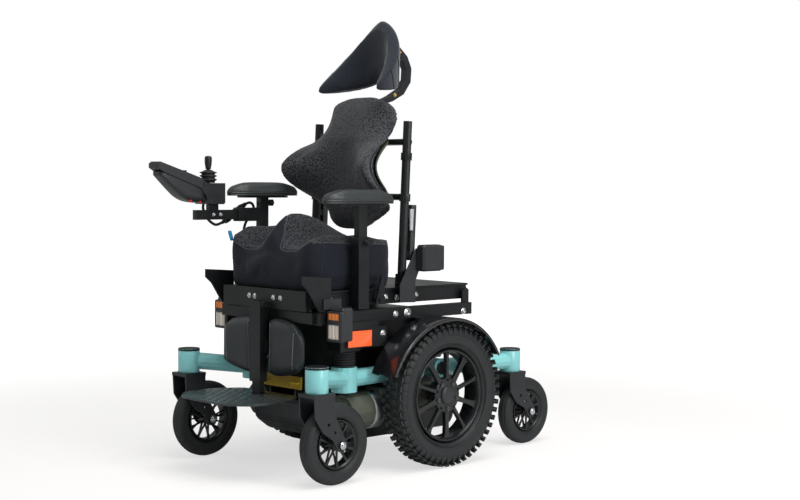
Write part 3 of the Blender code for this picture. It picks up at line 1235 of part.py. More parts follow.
# Joystick
PLUG_FRONT = Vector((-0.209, -0.318, 0.592))
PLUG_REAR = Vector((-0.209, -0.252, 0.634))
PLUG_RADIUS = 0.010
CLIP_Y = -0.311
CLIP_Z = 0.601
CABLE_RADIUS = 0.0035
TUBE_HOLES_Y = (-0.373, -0.352)
TUBE_HOLE_RADIUS = 0.0035
UPRIGHT_Y = (-0.385, -0.357)
POD_REAR_Y = -0.345
PANEL_FRONT = Vector((0.0, -0.529, 0.737))
PANEL_REAR = Vector((0.0, -0.412, 0.697))
PANEL_UP = (PANEL_FRONT - PANEL_REAR).cross(Vector((1.0, 0.0, 0.0))).normalized()
POD_TAPER = 0.35
BUTTON_SHARE = 0.25
BUTTON_RADIUS = 0.006
BUTTON_RISE = 0.0025
BUTTON_TRAVEL = 0.0018
BUTTON_POCKET = 0.005
GIMBAL_OUTER = 0.0115
GIMBAL_INNER = 0.0088
BOOT_BORE = 0.0065
BOOT_WALL = 0.0018
BOOT_NECK_RADIUS = 0.0165
BOOT_FLANGE_RADIUS = 0.0222
BOOT_FLANGE_THICKNESS = 0.0032
BOOT_FLANGES_Z = (0.7125, 0.7035, 0.6945)
BOOT_TOP = 0.719


def joystick_mount():
    """The tube in the right armrest's sleeve, the pod's upright and the clipped cable plug."""
    x, wide, tall = -POST_X, JOYSTICK_TUBE_WIDTH / 2, JOYSTICK_TUBE_HEIGHT / 2
    solids = [
        box((x - wide, JOYSTICK_TUBE_FRONT_Y, JOYSTICK_TUBE_Z - tall),
            (x + wide, JOYSTICK_TUBE_REAR_Y, JOYSTICK_TUBE_Z + tall)),
        box((x - 0.010, UPRIGHT_Y[0], JOYSTICK_TUBE_Z + tall - OVERLAP),
            (x + 0.005, UPRIGHT_Y[1], POD_BOTTOM - GAP)),
        box((PLUG_FRONT.x + PLUG_RADIUS + GAP, CLIP_Y - 0.005, CLIP_Z - 0.0035),
            (x - wide + OVERLAP, CLIP_Y + 0.005, CLIP_Z + 0.0035)),
    ]
    holes = [rod((x - 2 * wide, y, JOYSTICK_TUBE_Z), (x + 2 * wide, y, JOYSTICK_TUBE_Z), TUBE_HOLE_RADIUS,
                 BOLT_SIDES) for y in TUBE_HOLES_Y]
    make_part("joystick_mount", fuse(solids, holes), BLACK_PAINT, (x, POST_Y, JOYSTICK_TUBE_Z))


def joystick_pod():
    """The control pod, its display end rising towards the front, with the stick's cup."""
    outline = [(POD_TIP_Y, 0.722), (POD_TIP_Y, 0.732), PANEL_FRONT.yz, PANEL_REAR.yz, (-0.400, POD_TOP),
               (POD_REAR_Y, POD_TOP), (POD_REAR_Y, POD_BOTTOM + 0.004), (POD_REAR_Y - 0.004, POD_BOTTOM),
               (-0.392, POD_BOTTOM), (-0.404, 0.655), (-0.418, 0.674), (-0.520, 0.712)]
    body = plate(outline, -JOYSTICK_X - POD_WIDTH / 2, -JOYSTICK_X + POD_WIDTH / 2)
    for vert in body.data.vertices:
        along = max(0.0, (PANEL_REAR.y - vert.co.y) / (PANEL_REAR.y - POD_TIP_Y))
        vert.co.x = -JOYSTICK_X + (vert.co.x + JOYSTICK_X) * (1 - POD_TAPER * along)
    cup = rod((-JOYSTICK_X, STICK_Y, POD_TOP - STICK_CUP_DEPTH), (-JOYSTICK_X, STICK_Y, POD_TOP + 0.01),
              STICK_CUP_RADIUS)
    place = button_place()
    pocket = rod(place - PANEL_UP * BUTTON_POCKET, place + PANEL_UP * BUTTON_POCKET, BUTTON_RADIUS + GAP,
                 PIN_SIDES)
    make_part("joystick_pod", fuse([body], [cup, pocket]), BLACK_PLASTIC, (-JOYSTICK_X, STICK_Y, POD_BOTTOM))


def button_place():
    """The middle of the power button on the pod's sloping panel."""
    return Vector((-JOYSTICK_X, 0.0, 0.0)) + PANEL_REAR.lerp(PANEL_FRONT, BUTTON_SHARE)


def power_button():
    """The button in its pocket on the sloping panel."""
    place = button_place()
    button = rod(place - PANEL_UP * (BUTTON_POCKET - BUTTON_TRAVEL), place + PANEL_UP * BUTTON_RISE,
                 BUTTON_RADIUS, PIN_SIDES)
    make_part("power_button", button, STEEL, place)


def joystick_stick():
    """The gimbal ring on its side pins, and the stick that rocks inside it."""
    x, y, z = -JOYSTICK_X, STICK_Y, STICK_PIVOT_Z
    ring = turned([(GIMBAL_OUTER, 0.0022), (GIMBAL_OUTER, -0.0022), (GIMBAL_INNER, -0.0022),
                   (GIMBAL_INNER, 0.0022)], (x, y, z), (0, 0, 1), TUBE_SIDES)
    reach = STICK_CUP_RADIUS * math.cos(math.pi / TUBE_SIDES) - 2 * GAP
    pins = [rod((x + side * (GIMBAL_INNER + 0.0005), y, z), (x + side * reach, y, z), 0.0015, BOLT_SIDES)
            for _, side in SIDES]
    make_part("joystick_gimbal", fuse([ring, *pins]), STEEL, (x, y, z))
    knob = turned([(0.0, KNOB_TOP), (0.007, KNOB_TOP - 0.0008), (KNOB_RADIUS, KNOB_TOP - 0.007),
                   (KNOB_RADIUS, KNOB_TOP - 0.014), (0.008, KNOB_TOP - 0.023), (0.0065, KNOB_BOTTOM),
                   (0.0, KNOB_BOTTOM)], (x, y, 0.0), (0, 0, 1), TUBE_SIDES)
    shaft = rod((x, y, z - 0.0045), (x, y, KNOB_BOTTOM + OVERLAP), STICK_RADIUS, PIN_SIDES)
    inside = GIMBAL_INNER * math.cos(math.pi / TUBE_SIDES) - 2 * GAP
    cross = rod((x, y - inside, z), (x, y + inside, z), 0.0013, BOLT_SIDES)
    make_part("joystick_stick", fuse([shaft, knob, cross]), BLACK_PLASTIC, (x, y, z))


def joystick_boot():
    """The ribbed boot round the stick: thin flanges with a neck between each, under a small cone."""
    bottom = POD_TOP + GAP
    outside = [(BOOT_BORE + BOOT_WALL, BOOT_TOP)]
    for height in BOOT_FLANGES_Z:
        outside += [(BOOT_NECK_RADIUS, height + BOOT_FLANGE_THICKNESS), (BOOT_FLANGE_RADIUS, height),
                    (BOOT_NECK_RADIUS, height - BOOT_FLANGE_THICKNESS)]
    outside.append((BOOT_NECK_RADIUS, bottom))
    boot = turned(outside + [(BOOT_NECK_RADIUS - BOOT_WALL, bottom), (BOOT_BORE, BOOT_TOP)],
                  (-JOYSTICK_X, STICK_Y, 0.0), (0, 0, 1), TUBE_SIDES)
    make_part("joystick_boot", boot, BLACK_PLASTIC, (-JOYSTICK_X, STICK_Y, POD_TOP))


def joystick_cable():
    """The cable from the pod round to its plug, and the conduit that goes on down from the plug."""
    along = (PLUG_REAR - PLUG_FRONT).normalized()
    loop = [(-0.205, -0.386, POD_BOTTOM - GAP), (-0.205, -0.386, 0.621), (-0.208, -0.370, 0.597),
            (-0.209, -0.348, 0.583), (PLUG_FRONT - along * 0.012), (PLUG_FRONT + along * OVERLAP)]
    conduit = [(PLUG_REAR - along * OVERLAP), (PLUG_REAR + along * 0.010), (-0.209, -0.228, 0.632),
               (-0.209, -0.226, 0.614), (-0.209, -0.243, 0.599), (-0.207, -0.258, 0.573),
               (-0.204, -0.262, 0.530), (-0.200, -0.262, 0.470)]
    solids = [bar(smooth_path(knots, 3.4 * CABLE_RADIUS), CABLE_RADIUS, 1) for knots in (loop, conduit)]
    plug = rod(PLUG_FRONT, PLUG_REAR, PLUG_RADIUS, PIN_SIDES)
    make_part("joystick_cable", fuse([plug, *solids]), BLACK_PLASTIC, PLUG_FRONT)


# Leg support
LOWER_MAST_X = 0.0145
LOWER_MAST_Y = 0.0070
FOOT_PIN_Z = 0.1745
FOOT_PIN_RADIUS = 0.003
FOOT_LUG = 0.005


def leg_mast():
    """The upper mast with the cross arms behind the calf pads, bored for the lower mast."""
    y, reach = LEG_HINGE_Y, MAST_DEPTH / 2
    mast = fuse([
        box((-MAST_X, y - reach, MAST_BOTTOM), (MAST_X, y + reach, LEG_HINGE_Z + 0.006)),
        box((-CALF_INNER_X + 0.001, y + 0.005, 0.285), (CALF_INNER_X - 0.001, y + 0.0245, 0.315)),
        box((-0.110, y + 0.0208, 0.287), (0.110, y + 0.0242, 0.313)),
    ], [
        box((-LOWER_MAST_X - GAP, y - LOWER_MAST_Y - GAP, MAST_BOTTOM - 0.01),
            (LOWER_MAST_X + GAP, y + LOWER_MAST_Y + GAP, 0.360)),
        bore((-0.05, y, LEG_HINGE_Z), (0.05, y, LEG_HINGE_Z), LEG_PIN_RADIUS),
    ])
    make_part("leg_mast", mast, BLACK_PAINT, (0.0, y, LEG_HINGE_Z))


def leg_mast_lower():
    """The sliding lower mast with the footplate's cross pin."""
    y = LEG_HINGE_Y
    lower = fuse([
        box((-LOWER_MAST_X, y - LOWER_MAST_Y, LOWER_MAST_BOTTOM), (LOWER_MAST_X, y + LOWER_MAST_Y, 0.300)),
        rod((-LOWER_MAST_X - 0.0075, y, FOOT_PIN_Z), (LOWER_MAST_X + 0.0075, y, FOOT_PIN_Z), FOOT_PIN_RADIUS,
            PIN_SIDES),
    ])
    make_part("leg_mast_lower", lower, BLACK_PAINT, (0.0, y, FOOT_PIN_Z))


def footplate():
    """The footplate round the mast, on two lugs that hinge on the lower mast's pin."""
    y = LEG_HINGE_Y
    right = [(FOOTPLATE_FRONT_X, FOOTPLATE_FRONT_Y), (FOOTPLATE_WIDE_X - 0.010, FOOTPLATE_FRONT_Y + 0.045),
             (FOOTPLATE_WIDE_X, FOOTPLATE_WIDE_Y), (FOOTPLATE_WIDE_X - 0.008, FOOTPLATE_WIDE_Y + 0.050),
             (FOOTPLATE_REAR_X, FOOTPLATE_REAR_Y)]
    outline = rounded(right + [(-px, py) for px, py in reversed(right)], 0.018, 2)
    hole_x, hole_y = LOWER_MAST_X + 0.003, LOWER_MAST_Y + 0.006
    hole = [(-hole_x, y - hole_y), (hole_x, y - hole_y), (hole_x, y + hole_y), (-hole_x, y + hole_y)]
    solids = [plate(outline, FOOTPLATE_TOP - FOOTPLATE_THICKNESS, FOOTPLATE_TOP, "Z", [hole])]
    bottom = FOOTPLATE_TOP - FOOTPLATE_THICKNESS
    for _, side in SIDES:
        near = side * (LOWER_MAST_X + RUNNING_GAP)
        solids.append(box((near, y - 0.008, FOOT_PIN_Z - 0.006), (near + side * FOOT_LUG, y + 0.008, bottom)))
        solids.append(box((side * (hole_x - 0.0005), y - 0.008, bottom - OVERLAP / 2),
                          (near + side * FOOT_LUG, y + 0.008, bottom + OVERLAP)))
    pin_hole = bore((-0.05, y, FOOT_PIN_Z), (0.05, y, FOOT_PIN_Z), FOOT_PIN_RADIUS)
    make_part("footplate", fuse(solids, [pin_hole]), BLACK_PLASTIC, (0.0, y, FOOT_PIN_Z))


def calf_pads():
    """The pads on each side of the mast, taller towards it."""
    front = LEG_HINGE_Y + 0.0205 - CALF_THICKNESS
    for side_name, side in SIDES:
        def shape(u, v, w, side=side):
            share = (u + 1) / 2
            x = side * (CALF_INNER_X + (CALF_OUTER_X - CALF_INNER_X) * share)
            top = CALF_TOP - 0.022 * share ** 2 - 0.010 * max(0.0, share - 0.7) / 0.3
            bottom = CALF_BOTTOM + 0.022 * share ** 2
            crown = CALF_THICKNESS - edge_drop(u, w, 0.011, 0.5)
            return x, front + CALF_THICKNESS - crown * (1 - v) / 2, bottom + (top - bottom) * (w + 1) / 2
        make_part("calf_pad_" + side_name, block((5, 1, 5), shape), BLACK_VINYL,
                  (0.0, LEG_HINGE_Y, LEG_HINGE_Z))


joystick_mount()
joystick_pod()
power_button()
joystick_stick()
joystick_boot()
joystick_cable()
leg_mast()
leg_mast_lower()
footplate()
calf_pads()
bpy.data.collections.remove(WORKSHOP)
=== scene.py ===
# %% [markdown]
# # A child's power wheelchair
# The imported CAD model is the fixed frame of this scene. It holds every rigid piece at its real
# size, and each one belongs to a body that moves. Here the pieces get their finishes, and the
# soft ones get their real shapes. The chair faces -Y, +X is the seated person's left, +Z is up.

import math

import bmesh
import bpy
import numpy as np
from mathutils import Matrix, Vector
from mathutils.bvhtree import BVHTree


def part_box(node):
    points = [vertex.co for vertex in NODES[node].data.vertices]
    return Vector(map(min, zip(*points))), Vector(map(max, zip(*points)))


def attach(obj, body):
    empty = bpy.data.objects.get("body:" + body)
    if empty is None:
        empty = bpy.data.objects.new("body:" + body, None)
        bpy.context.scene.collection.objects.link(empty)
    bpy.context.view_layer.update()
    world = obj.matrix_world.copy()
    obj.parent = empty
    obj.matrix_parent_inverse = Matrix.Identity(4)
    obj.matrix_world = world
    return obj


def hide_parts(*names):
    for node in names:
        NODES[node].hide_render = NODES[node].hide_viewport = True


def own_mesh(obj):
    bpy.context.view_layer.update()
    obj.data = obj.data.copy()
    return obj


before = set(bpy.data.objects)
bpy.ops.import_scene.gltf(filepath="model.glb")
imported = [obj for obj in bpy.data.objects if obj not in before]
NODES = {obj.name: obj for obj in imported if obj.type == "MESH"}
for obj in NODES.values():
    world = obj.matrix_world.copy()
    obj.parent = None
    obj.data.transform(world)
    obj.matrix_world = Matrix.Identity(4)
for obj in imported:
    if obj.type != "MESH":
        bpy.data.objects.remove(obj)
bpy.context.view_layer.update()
SIDES = (("left", 1), ("right", -1))
ENDS = ("front", "rear")

# %% [markdown]
# The camera stands at the height of the armrests, in front of the chair and to its left. Its
# place and lens come from a fit to the wheels and casters. A photograph is made on a flat
# sensor, so a long lens from a few metres keeps the near wheel from looking too large.

# %% The camera
FRAME_WIDTH = 800
LENS_PIXELS = 1463.3
SENSOR = 36.0
CAMERA_PLACE = Vector((2.742, -2.49725, 0.6906))
CAMERA_TURN, CAMERA_DOWN, CAMERA_ROLL = (math.radians(angle) for angle in (46.312, 2.640, 0.4065))


def camera_axes():
    """The camera's right, up and backward directions."""
    forward = Vector((-math.sin(CAMERA_TURN) * math.cos(CAMERA_DOWN),
                      math.cos(CAMERA_TURN) * math.cos(CAMERA_DOWN), -math.sin(CAMERA_DOWN)))
    level = Vector((math.cos(CAMERA_TURN), math.sin(CAMERA_TURN), 0.0))
    above = level.cross(forward)
    right = level * math.cos(CAMERA_ROLL) + above * math.sin(CAMERA_ROLL)
    up = above * math.cos(CAMERA_ROLL) - level * math.sin(CAMERA_ROLL)
    return right, up, -forward


camera_data = bpy.data.cameras.new("photo_camera")
camera_data.sensor_width = SENSOR
camera_data.lens = LENS_PIXELS * SENSOR / FRAME_WIDTH
camera_data.clip_start, camera_data.clip_end = 0.05, 60.0
camera = bpy.data.objects.new("photo_camera", camera_data)
bpy.context.scene.collection.objects.link(camera)
camera.matrix_world = Matrix.Translation(CAMERA_PLACE) @ Matrix(camera_axes()).transposed().to_4x4()
bpy.context.scene.camera = camera
print("lens", round(camera_data.lens, 2), "mm")

# %% [markdown]
# Shader maths reads better as sums than as wires. `Socket` wraps one output of a node, and
# each operator on it adds the Math node that does the same. `Finish.node` adds any other node.

# %% Shader sums
class Socket:
    """An output of a node that takes part in sums."""

    def __init__(self, finish, link):
        self.finish, self.link = finish, link

    def sum_with(self, operation, other, swap=False):
        """The Math node of one operation on this output and another value."""
        first, second = (other, self) if swap else (self, other)
        return self.finish.node("ShaderNodeMath", {"operation": operation}, {0: first, 1: second})

    def __add__(self, other):
        return self.sum_with("ADD", other)

    def __sub__(self, other):
        return self.sum_with("SUBTRACT", other)

    def __rsub__(self, other):
        return self.sum_with("SUBTRACT", other, True)

    def __mul__(self, other):
        return self.sum_with("MULTIPLY", other)

    def __gt__(self, other):
        return self.sum_with("GREATER_THAN", other)


class Finish:
    """A material under construction."""

    def __init__(self, name, **settings):
        self.material = bpy.data.materials.new(name)
        self.material.use_nodes = True
        self.tree = self.material.node_tree
        self.shader = self.tree.nodes["Principled BSDF"]
        for socket, value in settings.items():
            self.shader.inputs[socket.replace("_", " ")].default_value = value

    def node(self, kind, settings=None, inputs=None, output=0):
        """Adds a node, sets it up, joins its inputs and gives one of its outputs."""
        added = self.tree.nodes.new(kind)
        for key, value in (settings or {}).items():
            setattr(added, key, value)
        for key, value in (inputs or {}).items():
            if isinstance(value, Socket):
                self.tree.links.new(value.link, added.inputs[key])
            else:
                added.inputs[key].default_value = value
        return Socket(self, added.outputs[output])

    def place(self):
        """The point on the object, in metres."""
        return self.node("ShaderNodeTexCoord", output="Object")

    def axes(self):
        """That point's x, y and z."""
        split = self.node("ShaderNodeSeparateXYZ", inputs={0: self.place()}).link.node
        return [Socket(self, output) for output in split.outputs]

    def noise(self, scale, detail=3.0):
        """Cloudy noise from 0 to 1."""
        inputs = {"Vector": self.place(), "Scale": scale, "Detail": detail}
        return self.node("ShaderNodeTexNoise", inputs=inputs)

    def cells(self, scale):
        """The distance to the nearest cell centre, for grains and knitted holes."""
        return self.node("ShaderNodeTexVoronoi", inputs={"Vector": self.place(), "Scale": scale})

    def ramp(self, value, low, high, start=0.0, end=1.0):
        """A value taken smoothly from start to end as it goes from low to high."""
        return self.node("ShaderNodeMapRange", {"interpolation_type": "SMOOTHSTEP"},
                         {"Value": value, "From Min": low, "From Max": high, "To Min": start, "To Max": end})

    def blend(self, share, first, second):
        """A colour between two."""
        inputs = {0: share, 6: first, 7: second}
        return self.node("ShaderNodeMix", {"data_type": "RGBA"}, inputs, 2)

    def set(self, socket, value):
        """Joins a varying value to the shader."""
        self.tree.links.new(value.link, self.shader.inputs[socket])

    def clouded(self, cloud, colour, shades, roughnesses):
        """Lets the colour and the roughness go from one value to another with a cloud."""
        self.set("Base Color", self.blend(cloud, *(rgb(colour, shade) for shade in shades)))
        self.set("Roughness", self.ramp(cloud, 0.3, 0.7, *roughnesses))

    def bump(self, height, strength, depth):
        """Gives the shader a bump of that depth in metres."""
        inputs = {"Height": height, "Strength": strength, "Distance": depth}
        self.set("Normal", self.node("ShaderNodeBump", inputs=inputs))


def rgb(colour, shade=1.0):
    """A colour times a shade, with its alpha."""
    return (*(part * shade for part in colour), 1.0)


# %% [markdown]
# Powder coat is a baked plastic skin: nearly even in colour, with a fine orange-peel surface
# that breaks up its highlights. Dust makes it a little rougher in places. One function serves
# every painted metal, because only the colour and the shine differ.

# %% Painted metal
def painted(name, colour, roughness, peel=0.25, coat=0.0, tint=0.85):
    """A coat whose colour is darker by the tint in patches."""
    finish = Finish(name, Coat_Weight=coat, Coat_Roughness=0.12, Specular_IOR_Level=0.42)
    dust = finish.noise(14.0, 4.0)
    finish.set("Base Color", finish.blend(finish.ramp(dust, 0.35, 0.70), rgb(colour, tint), rgb(colour)))
    finish.set("Roughness", finish.ramp(dust, 0.30, 0.75, roughness - 0.05, roughness + 0.07))
    finish.bump(finish.noise(900.0, 2.0), peel, 0.0004)
    return finish.material


black_coat = painted("black_coat", (0.0095, 0.0110, 0.0120), 0.34)
fender_black = painted("fender_black", (0.012, 0.013, 0.016), 0.20, 0.08, 0.6)
fork_grey = painted("fork_grey", (0.020, 0.022, 0.025), 0.36)
mint_coat = painted("mint_coat", (0.285, 0.710, 0.720), 0.33, 0.10, 0.3, 0.92)
olive_coat = painted("olive_coat", (0.095, 0.105, 0.078), 0.48)
yellow_coat = painted("yellow_coat", (0.62, 0.42, 0.03), 0.42)
print("painted metals done")

# %% [markdown]
# Zinc-plated bolts and the cast gearbox have bare metal skins. Bare metal needs a metallic
# value of one. Its roughness varies in small patches, and a fine grain breaks up its reflections.

# %% Bare metal
def bare_metal(name, colour, roughness, grain=500.0):
    """A metal skin, darker and smoother in patches."""
    finish = Finish(name, Metallic=1.0)
    finish.clouded(finish.noise(60.0), colour, (0.72, 1.0), (roughness - 0.08, roughness + 0.10))
    finish.bump(finish.noise(grain, 2.0), 0.25, 0.0003)
    return finish.material


zinc = bare_metal("zinc", (0.72, 0.73, 0.74), 0.30)
cast_alloy = bare_metal("cast_alloy", (0.50, 0.51, 0.52), 0.45, 260.0)
brass = bare_metal("brass", (0.75, 0.52, 0.20), 0.30)
dark_pin = bare_metal("dark_pin", (0.20, 0.21, 0.22), 0.40)

# %% [markdown]
# Moulded plastic parts carry a fine spark-eroded grain. A cell texture gives the tiny raised
# islands of that grain, and the wheels' glossier black is the same with less of it.

# %% Moulded plastic
def moulded(name, colour, roughness, grain=0.35):
    """A plastic with a grain of that strength."""
    finish = Finish(name)
    finish.clouded(finish.noise(30.0), colour, (0.80, 1.15), (roughness - 0.05, roughness + 0.06))
    finish.bump(finish.cells(1500.0), grain, 0.0003)
    return finish.material


black_plastic = moulded("black_plastic", (0.009, 0.011, 0.014), 0.42)
wheel_plastic = moulded("wheel_plastic", (0.012, 0.013, 0.014), 0.28, 0.15)
foot_plastic = moulded("foot_plastic", (0.034, 0.045, 0.046), 0.26, 0.20)
boot_rubber = moulded("boot_rubber", (0.017, 0.018, 0.020), 0.62, 0.15)
lamp_black = moulded("lamp_black", (0.022, 0.025, 0.028), 0.42)
pale_plate = moulded("pale_plate", (0.48, 0.50, 0.50), 0.45, 0.05)
red_glow = moulded("red_glow", (0.70, 0.012, 0.010), 0.25, 0.05)

# %% [markdown]
# Tyre rubber is matt black and picks up pale dust where it rolls, so the tread is a shade
# lighter than the walls. The distance from the wheel's axle tells the two apart, and it comes
# from the y and z of each point.

# %% Tyre rubber
def rubber(name, axle_y, axle_z, tread_from, tread_to):
    """Rubber whose dust lies between two distances from the axle."""
    finish = Finish(name, Specular_IOR_Level=0.4)
    _, y, z = finish.axes()
    across, up = y - axle_y, z - axle_z
    reach = finish.node("ShaderNodeMath", {"operation": "SQRT"}, {0: across * across + up * up})
    dust = finish.ramp(reach, tread_from, tread_to) * finish.ramp(finish.noise(45.0, 4.0), 0.25, 0.75)
    finish.set("Base Color", finish.blend(dust, rgb((0.019, 0.021, 0.022)), rgb((0.036, 0.038, 0.038))))
    finish.set("Roughness", finish.ramp(dust, 0.0, 1.0, 0.52, 0.80))
    finish.bump(finish.noise(700.0, 3.0), 0.25, 0.0004)
    return finish.material


# %% [markdown]
# The lamps' lenses are clear plastic moulded in two colours, with fine upright flutes inside. A step in
# height picks the colour, and a wave gives the flutes, whose bands also carry painted shade. Each lens also
# has a faint painted glow in its own colour.

# %% Lenses
def lens(name, upper, lower, seam_z):
    """Fluted plastic with one colour above the seam and another below it, painted shade along the flutes, and
    a faint painted glow.
    """
    finish = Finish(name, Coat_Weight=0.8, Coat_Roughness=0.06, Roughness=0.12)
    z = finish.axes()[2]
    flutes = finish.node("ShaderNodeTexWave", {"wave_type": "BANDS", "bands_direction": "X"},
                         {"Vector": finish.place(), "Scale": 45.0, "Distortion": 1.5, "Detail": 2.0})
    colour = finish.blend(z > seam_z, rgb(lower), rgb(upper))
    # Painted shade: the flutes' bands are darkened towards a dim copy of the upper colour.
    shaded = finish.blend(finish.ramp(flutes, 0.2, 0.8), colour, rgb(upper, 0.55))
    flute_shaded_colour = finish.blend(finish.ramp(flutes, 0.5, 1.0, 0.0, 0.35), colour, shaded)
    finish.set("Base Color", flute_shaded_colour)
    # Painted glow: the lens gives off its own colour as light, though nothing lights it from inside.
    finish.set("Emission Color", flute_shaded_colour)
    finish.shader.inputs["Emission Strength"].default_value = 0.35
    finish.bump(flutes, 0.5, 0.0012)
    return finish.material


amber, clear_white = (0.90, 0.23, 0.02), (0.80, 0.77, 0.68)
red, orange = (0.72, 0.03, 0.05), (0.86, 0.115, 0.02)
front_lens = lens("front_lens", amber, clear_white, 0.369)
rear_lens = lens("rear_lens", amber, red, 0.517)
side_reflector = lens("side_reflector", orange, orange, 0.0)

# %% [markdown]
# The covers are sewn from two cloths. The sides are smooth knitted neoprene in a blue-black, with a soft
# sheen where light grazes it. The middle is black spacer mesh, whose small six-sided holes are a cell texture
# about 4 mm apart, painted nearly black as painted shade inside them. The sheen comes from the shader itself,
# because it is the same all over.

# %% Cover cloths
def neoprene(name, colour):
    """A smooth knitted cloth."""
    finish = Finish(name, Sheen_Weight=0.35, Sheen_Roughness=0.45, Specular_IOR_Level=0.25)
    finish.clouded(finish.noise(9.0, 4.0), colour, (0.75, 1.35), (0.82, 0.94))
    knit = finish.noise(1400.0, 2.0) + finish.noise(30.0, 3.0) * 2.0
    finish.bump(knit, 0.25, 0.0006)
    return finish.material


MESH_HOLES = 240.0


def mesh_colour(finish):
    """The hole mask of spacer mesh, and its colour, with painted shade in the holes."""
    holes = finish.ramp(finish.cells(MESH_HOLES), 0.34, 0.56, 1.0, 0.0)
    # Painted shade: the holes are painted far darker than the mesh itself.
    return holes, finish.blend(holes, rgb((0.046, 0.050, 0.056)), rgb((0.002, 0.002, 0.003)))


def spacer_mesh(name):
    """Open mesh over foam."""
    finish = Finish(name, Sheen_Weight=0.20, Sheen_Roughness=0.5, Specular_IOR_Level=0.3, Roughness=0.78)
    holes, colour = mesh_colour(finish)
    finish.set("Base Color", colour)
    finish.bump(1.0 - holes, 0.9, 0.0012)
    return finish.material


navy_cloth = neoprene("navy_cloth", (0.0125, 0.0160, 0.0240))
black_mesh = spacer_mesh("black_mesh")
piping_cloth = neoprene("piping_cloth", (0.045, 0.050, 0.058))

# %% [markdown]
# Armrests and calf pads are covered with soft vinyl. Its grain is made of rounded cells with
# creases between them, and wear polishes it in patches.

# %% Vinyl
def vinyl(name, colour, roughness):
    """A grained vinyl, polished by wear in patches."""
    finish = Finish(name, Coat_Weight=0.12, Coat_Roughness=0.3)
    finish.clouded(finish.noise(18.0, 4.0), colour, (0.75, 1.20), (roughness + 0.08, roughness - 0.06))
    finish.bump(finish.cells(800.0), 0.40, 0.0004)
    return finish.material


arm_vinyl = vinyl("arm_vinyl", (0.026, 0.031, 0.031), 0.40)
calf_vinyl = vinyl("calf_vinyl", (0.013, 0.018, 0.021), 0.46)
thread = neoprene("thread", (0.42, 0.44, 0.46))
blue_tape = neoprene("blue_tape", (0.01, 0.19, 0.42))
print(len(bpy.data.materials), "materials")

# %% [markdown]
# Every mesh below is made in `bmesh` from points that are worked out in code. `piece` turns
# such a mesh into an object, gives it its finish and puts it on the body that it moves with.
# `lathe` turns a profile round an axis, which suits tyres, rims, sleeves and knobs, and
# `tube` sweeps a circle along a smooth line for cords, piping and loops. `joined` and `sheet`
# lay the faces between rows of points.

# %% Mesh helpers
def piece(name, bm, material, body=None, smooth=True):
    """An object made from a bmesh, riding on a body."""
    bmesh.ops.remove_doubles(bm, verts=bm.verts, dist=0.00001)
    bmesh.ops.recalc_face_normals(bm, faces=bm.faces)
    mesh = bpy.data.meshes.new(name)
    bm.to_mesh(mesh)
    bm.free()
    mesh.materials.append(material)
    mesh.polygons.foreach_set("use_smooth", [smooth] * len(mesh.polygons))
    made = bpy.data.objects.new(name, mesh)
    bpy.context.scene.collection.objects.link(made)
    if body:
        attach(made, body)
    return made


def modify(target, kind, **settings):
    """Adds a modifier with its settings."""
    modifier = target.modifiers.new(kind.title(), kind)
    for key, value in settings.items():
        setattr(modifier, key, value)
    return modifier


def softened(target, width=0.0012, angle=35.0, segments=2):
    """Rounds the sharp edges, as bending and moulding do."""
    modify(target, "BEVEL", width=width, segments=segments, limit_method="ANGLE",
           angle_limit=math.radians(angle), harden_normals=True)


def joined(bm, rings, around=False, caps=False):
    """Faces between closed rings of points. If they go around, the last ring joins the first."""
    count = len(rings[0])
    for ring, following in zip(rings, rings[1:] + (rings[:1] if around else [])):
        for i in range(count):
            j = (i + 1) % count
            bm.faces.new((ring[i], ring[j], following[j], following[i]))
    if caps:
        bm.faces.new(rings[0][::-1])
        bm.faces.new(rings[-1])


def sheet(bm, rows):
    """Faces on a grid of points."""
    for row, following in zip(rows, rows[1:]):
        for i in range(len(row) - 1):
            bm.faces.new((row[i], following[i], following[i + 1], row[i + 1]))


def lathe(bm, profile, centre, axis="X", steps=72):
    """Turns a closed profile of (radius, place along the axis) points round a centre."""
    rings = []
    for k in range(steps):
        turn = math.tau * k / steps
        across, up = math.cos(turn), math.sin(turn)
        ring = []
        for radius, along in profile:
            point = (along, radius * across, radius * up) if axis == "X" else \
                (radius * across, radius * up, along)
            ring.append(bm.verts.new(Vector(point) + Vector(centre)))
        rings.append(ring)
    joined(bm, rings, around=True)


def smooth_line(knots, count):
    """Evenly spread points on a Catmull-Rom curve through knots."""
    knots = [Vector(knot) for knot in knots]
    ends = [2 * knots[0] - knots[1], *knots, 2 * knots[-1] - knots[-2]]
    fine = []
    for k in range(1, len(ends) - 2):
        before, first, second, after = ends[k - 1:k + 3]
        for i in range(20):
            t = i / 20
            fine.append(0.5 * (2 * first + (second - before) * t
                               + (2 * before - 5 * first + 4 * second - after) * t * t
                               + (3 * first - before - 3 * second + after) * t ** 3))
    fine.append(knots[-1])
    lengths = np.concatenate([[0.0], np.cumsum([(b - a).length for a, b in zip(fine, fine[1:])])])
    spots = np.linspace(0.0, lengths[-1], count)
    return [Vector([float(np.interp(spot, lengths, [point[axis] for point in fine]))
                    for axis in range(3)]) for spot in spots]


def tube(bm, points, radius, sides=10, closed=False, widths=None):
    """Sweeps a circle along points, with flat caps at open ends."""
    count = len(points)
    normal = None
    rings = []
    for k, point in enumerate(points):
        ahead = points[(k + 1) % count] if closed else points[min(k + 1, count - 1)]
        behind = points[k - 1] if closed else points[max(k - 1, 0)]
        along = (ahead - behind).normalized()
        normal = along.orthogonal() if normal is None else normal - along * normal.dot(along)
        normal.normalize()
        other = along.cross(normal)
        reach = radius * (widths[k] if widths else 1.0)
        rings.append([bm.verts.new(point + (normal * math.cos(turn) + other * math.sin(turn)) * reach)
                      for turn in (math.tau * i / sides for i in range(sides))])
    joined(bm, rings, around=closed, caps=not closed)


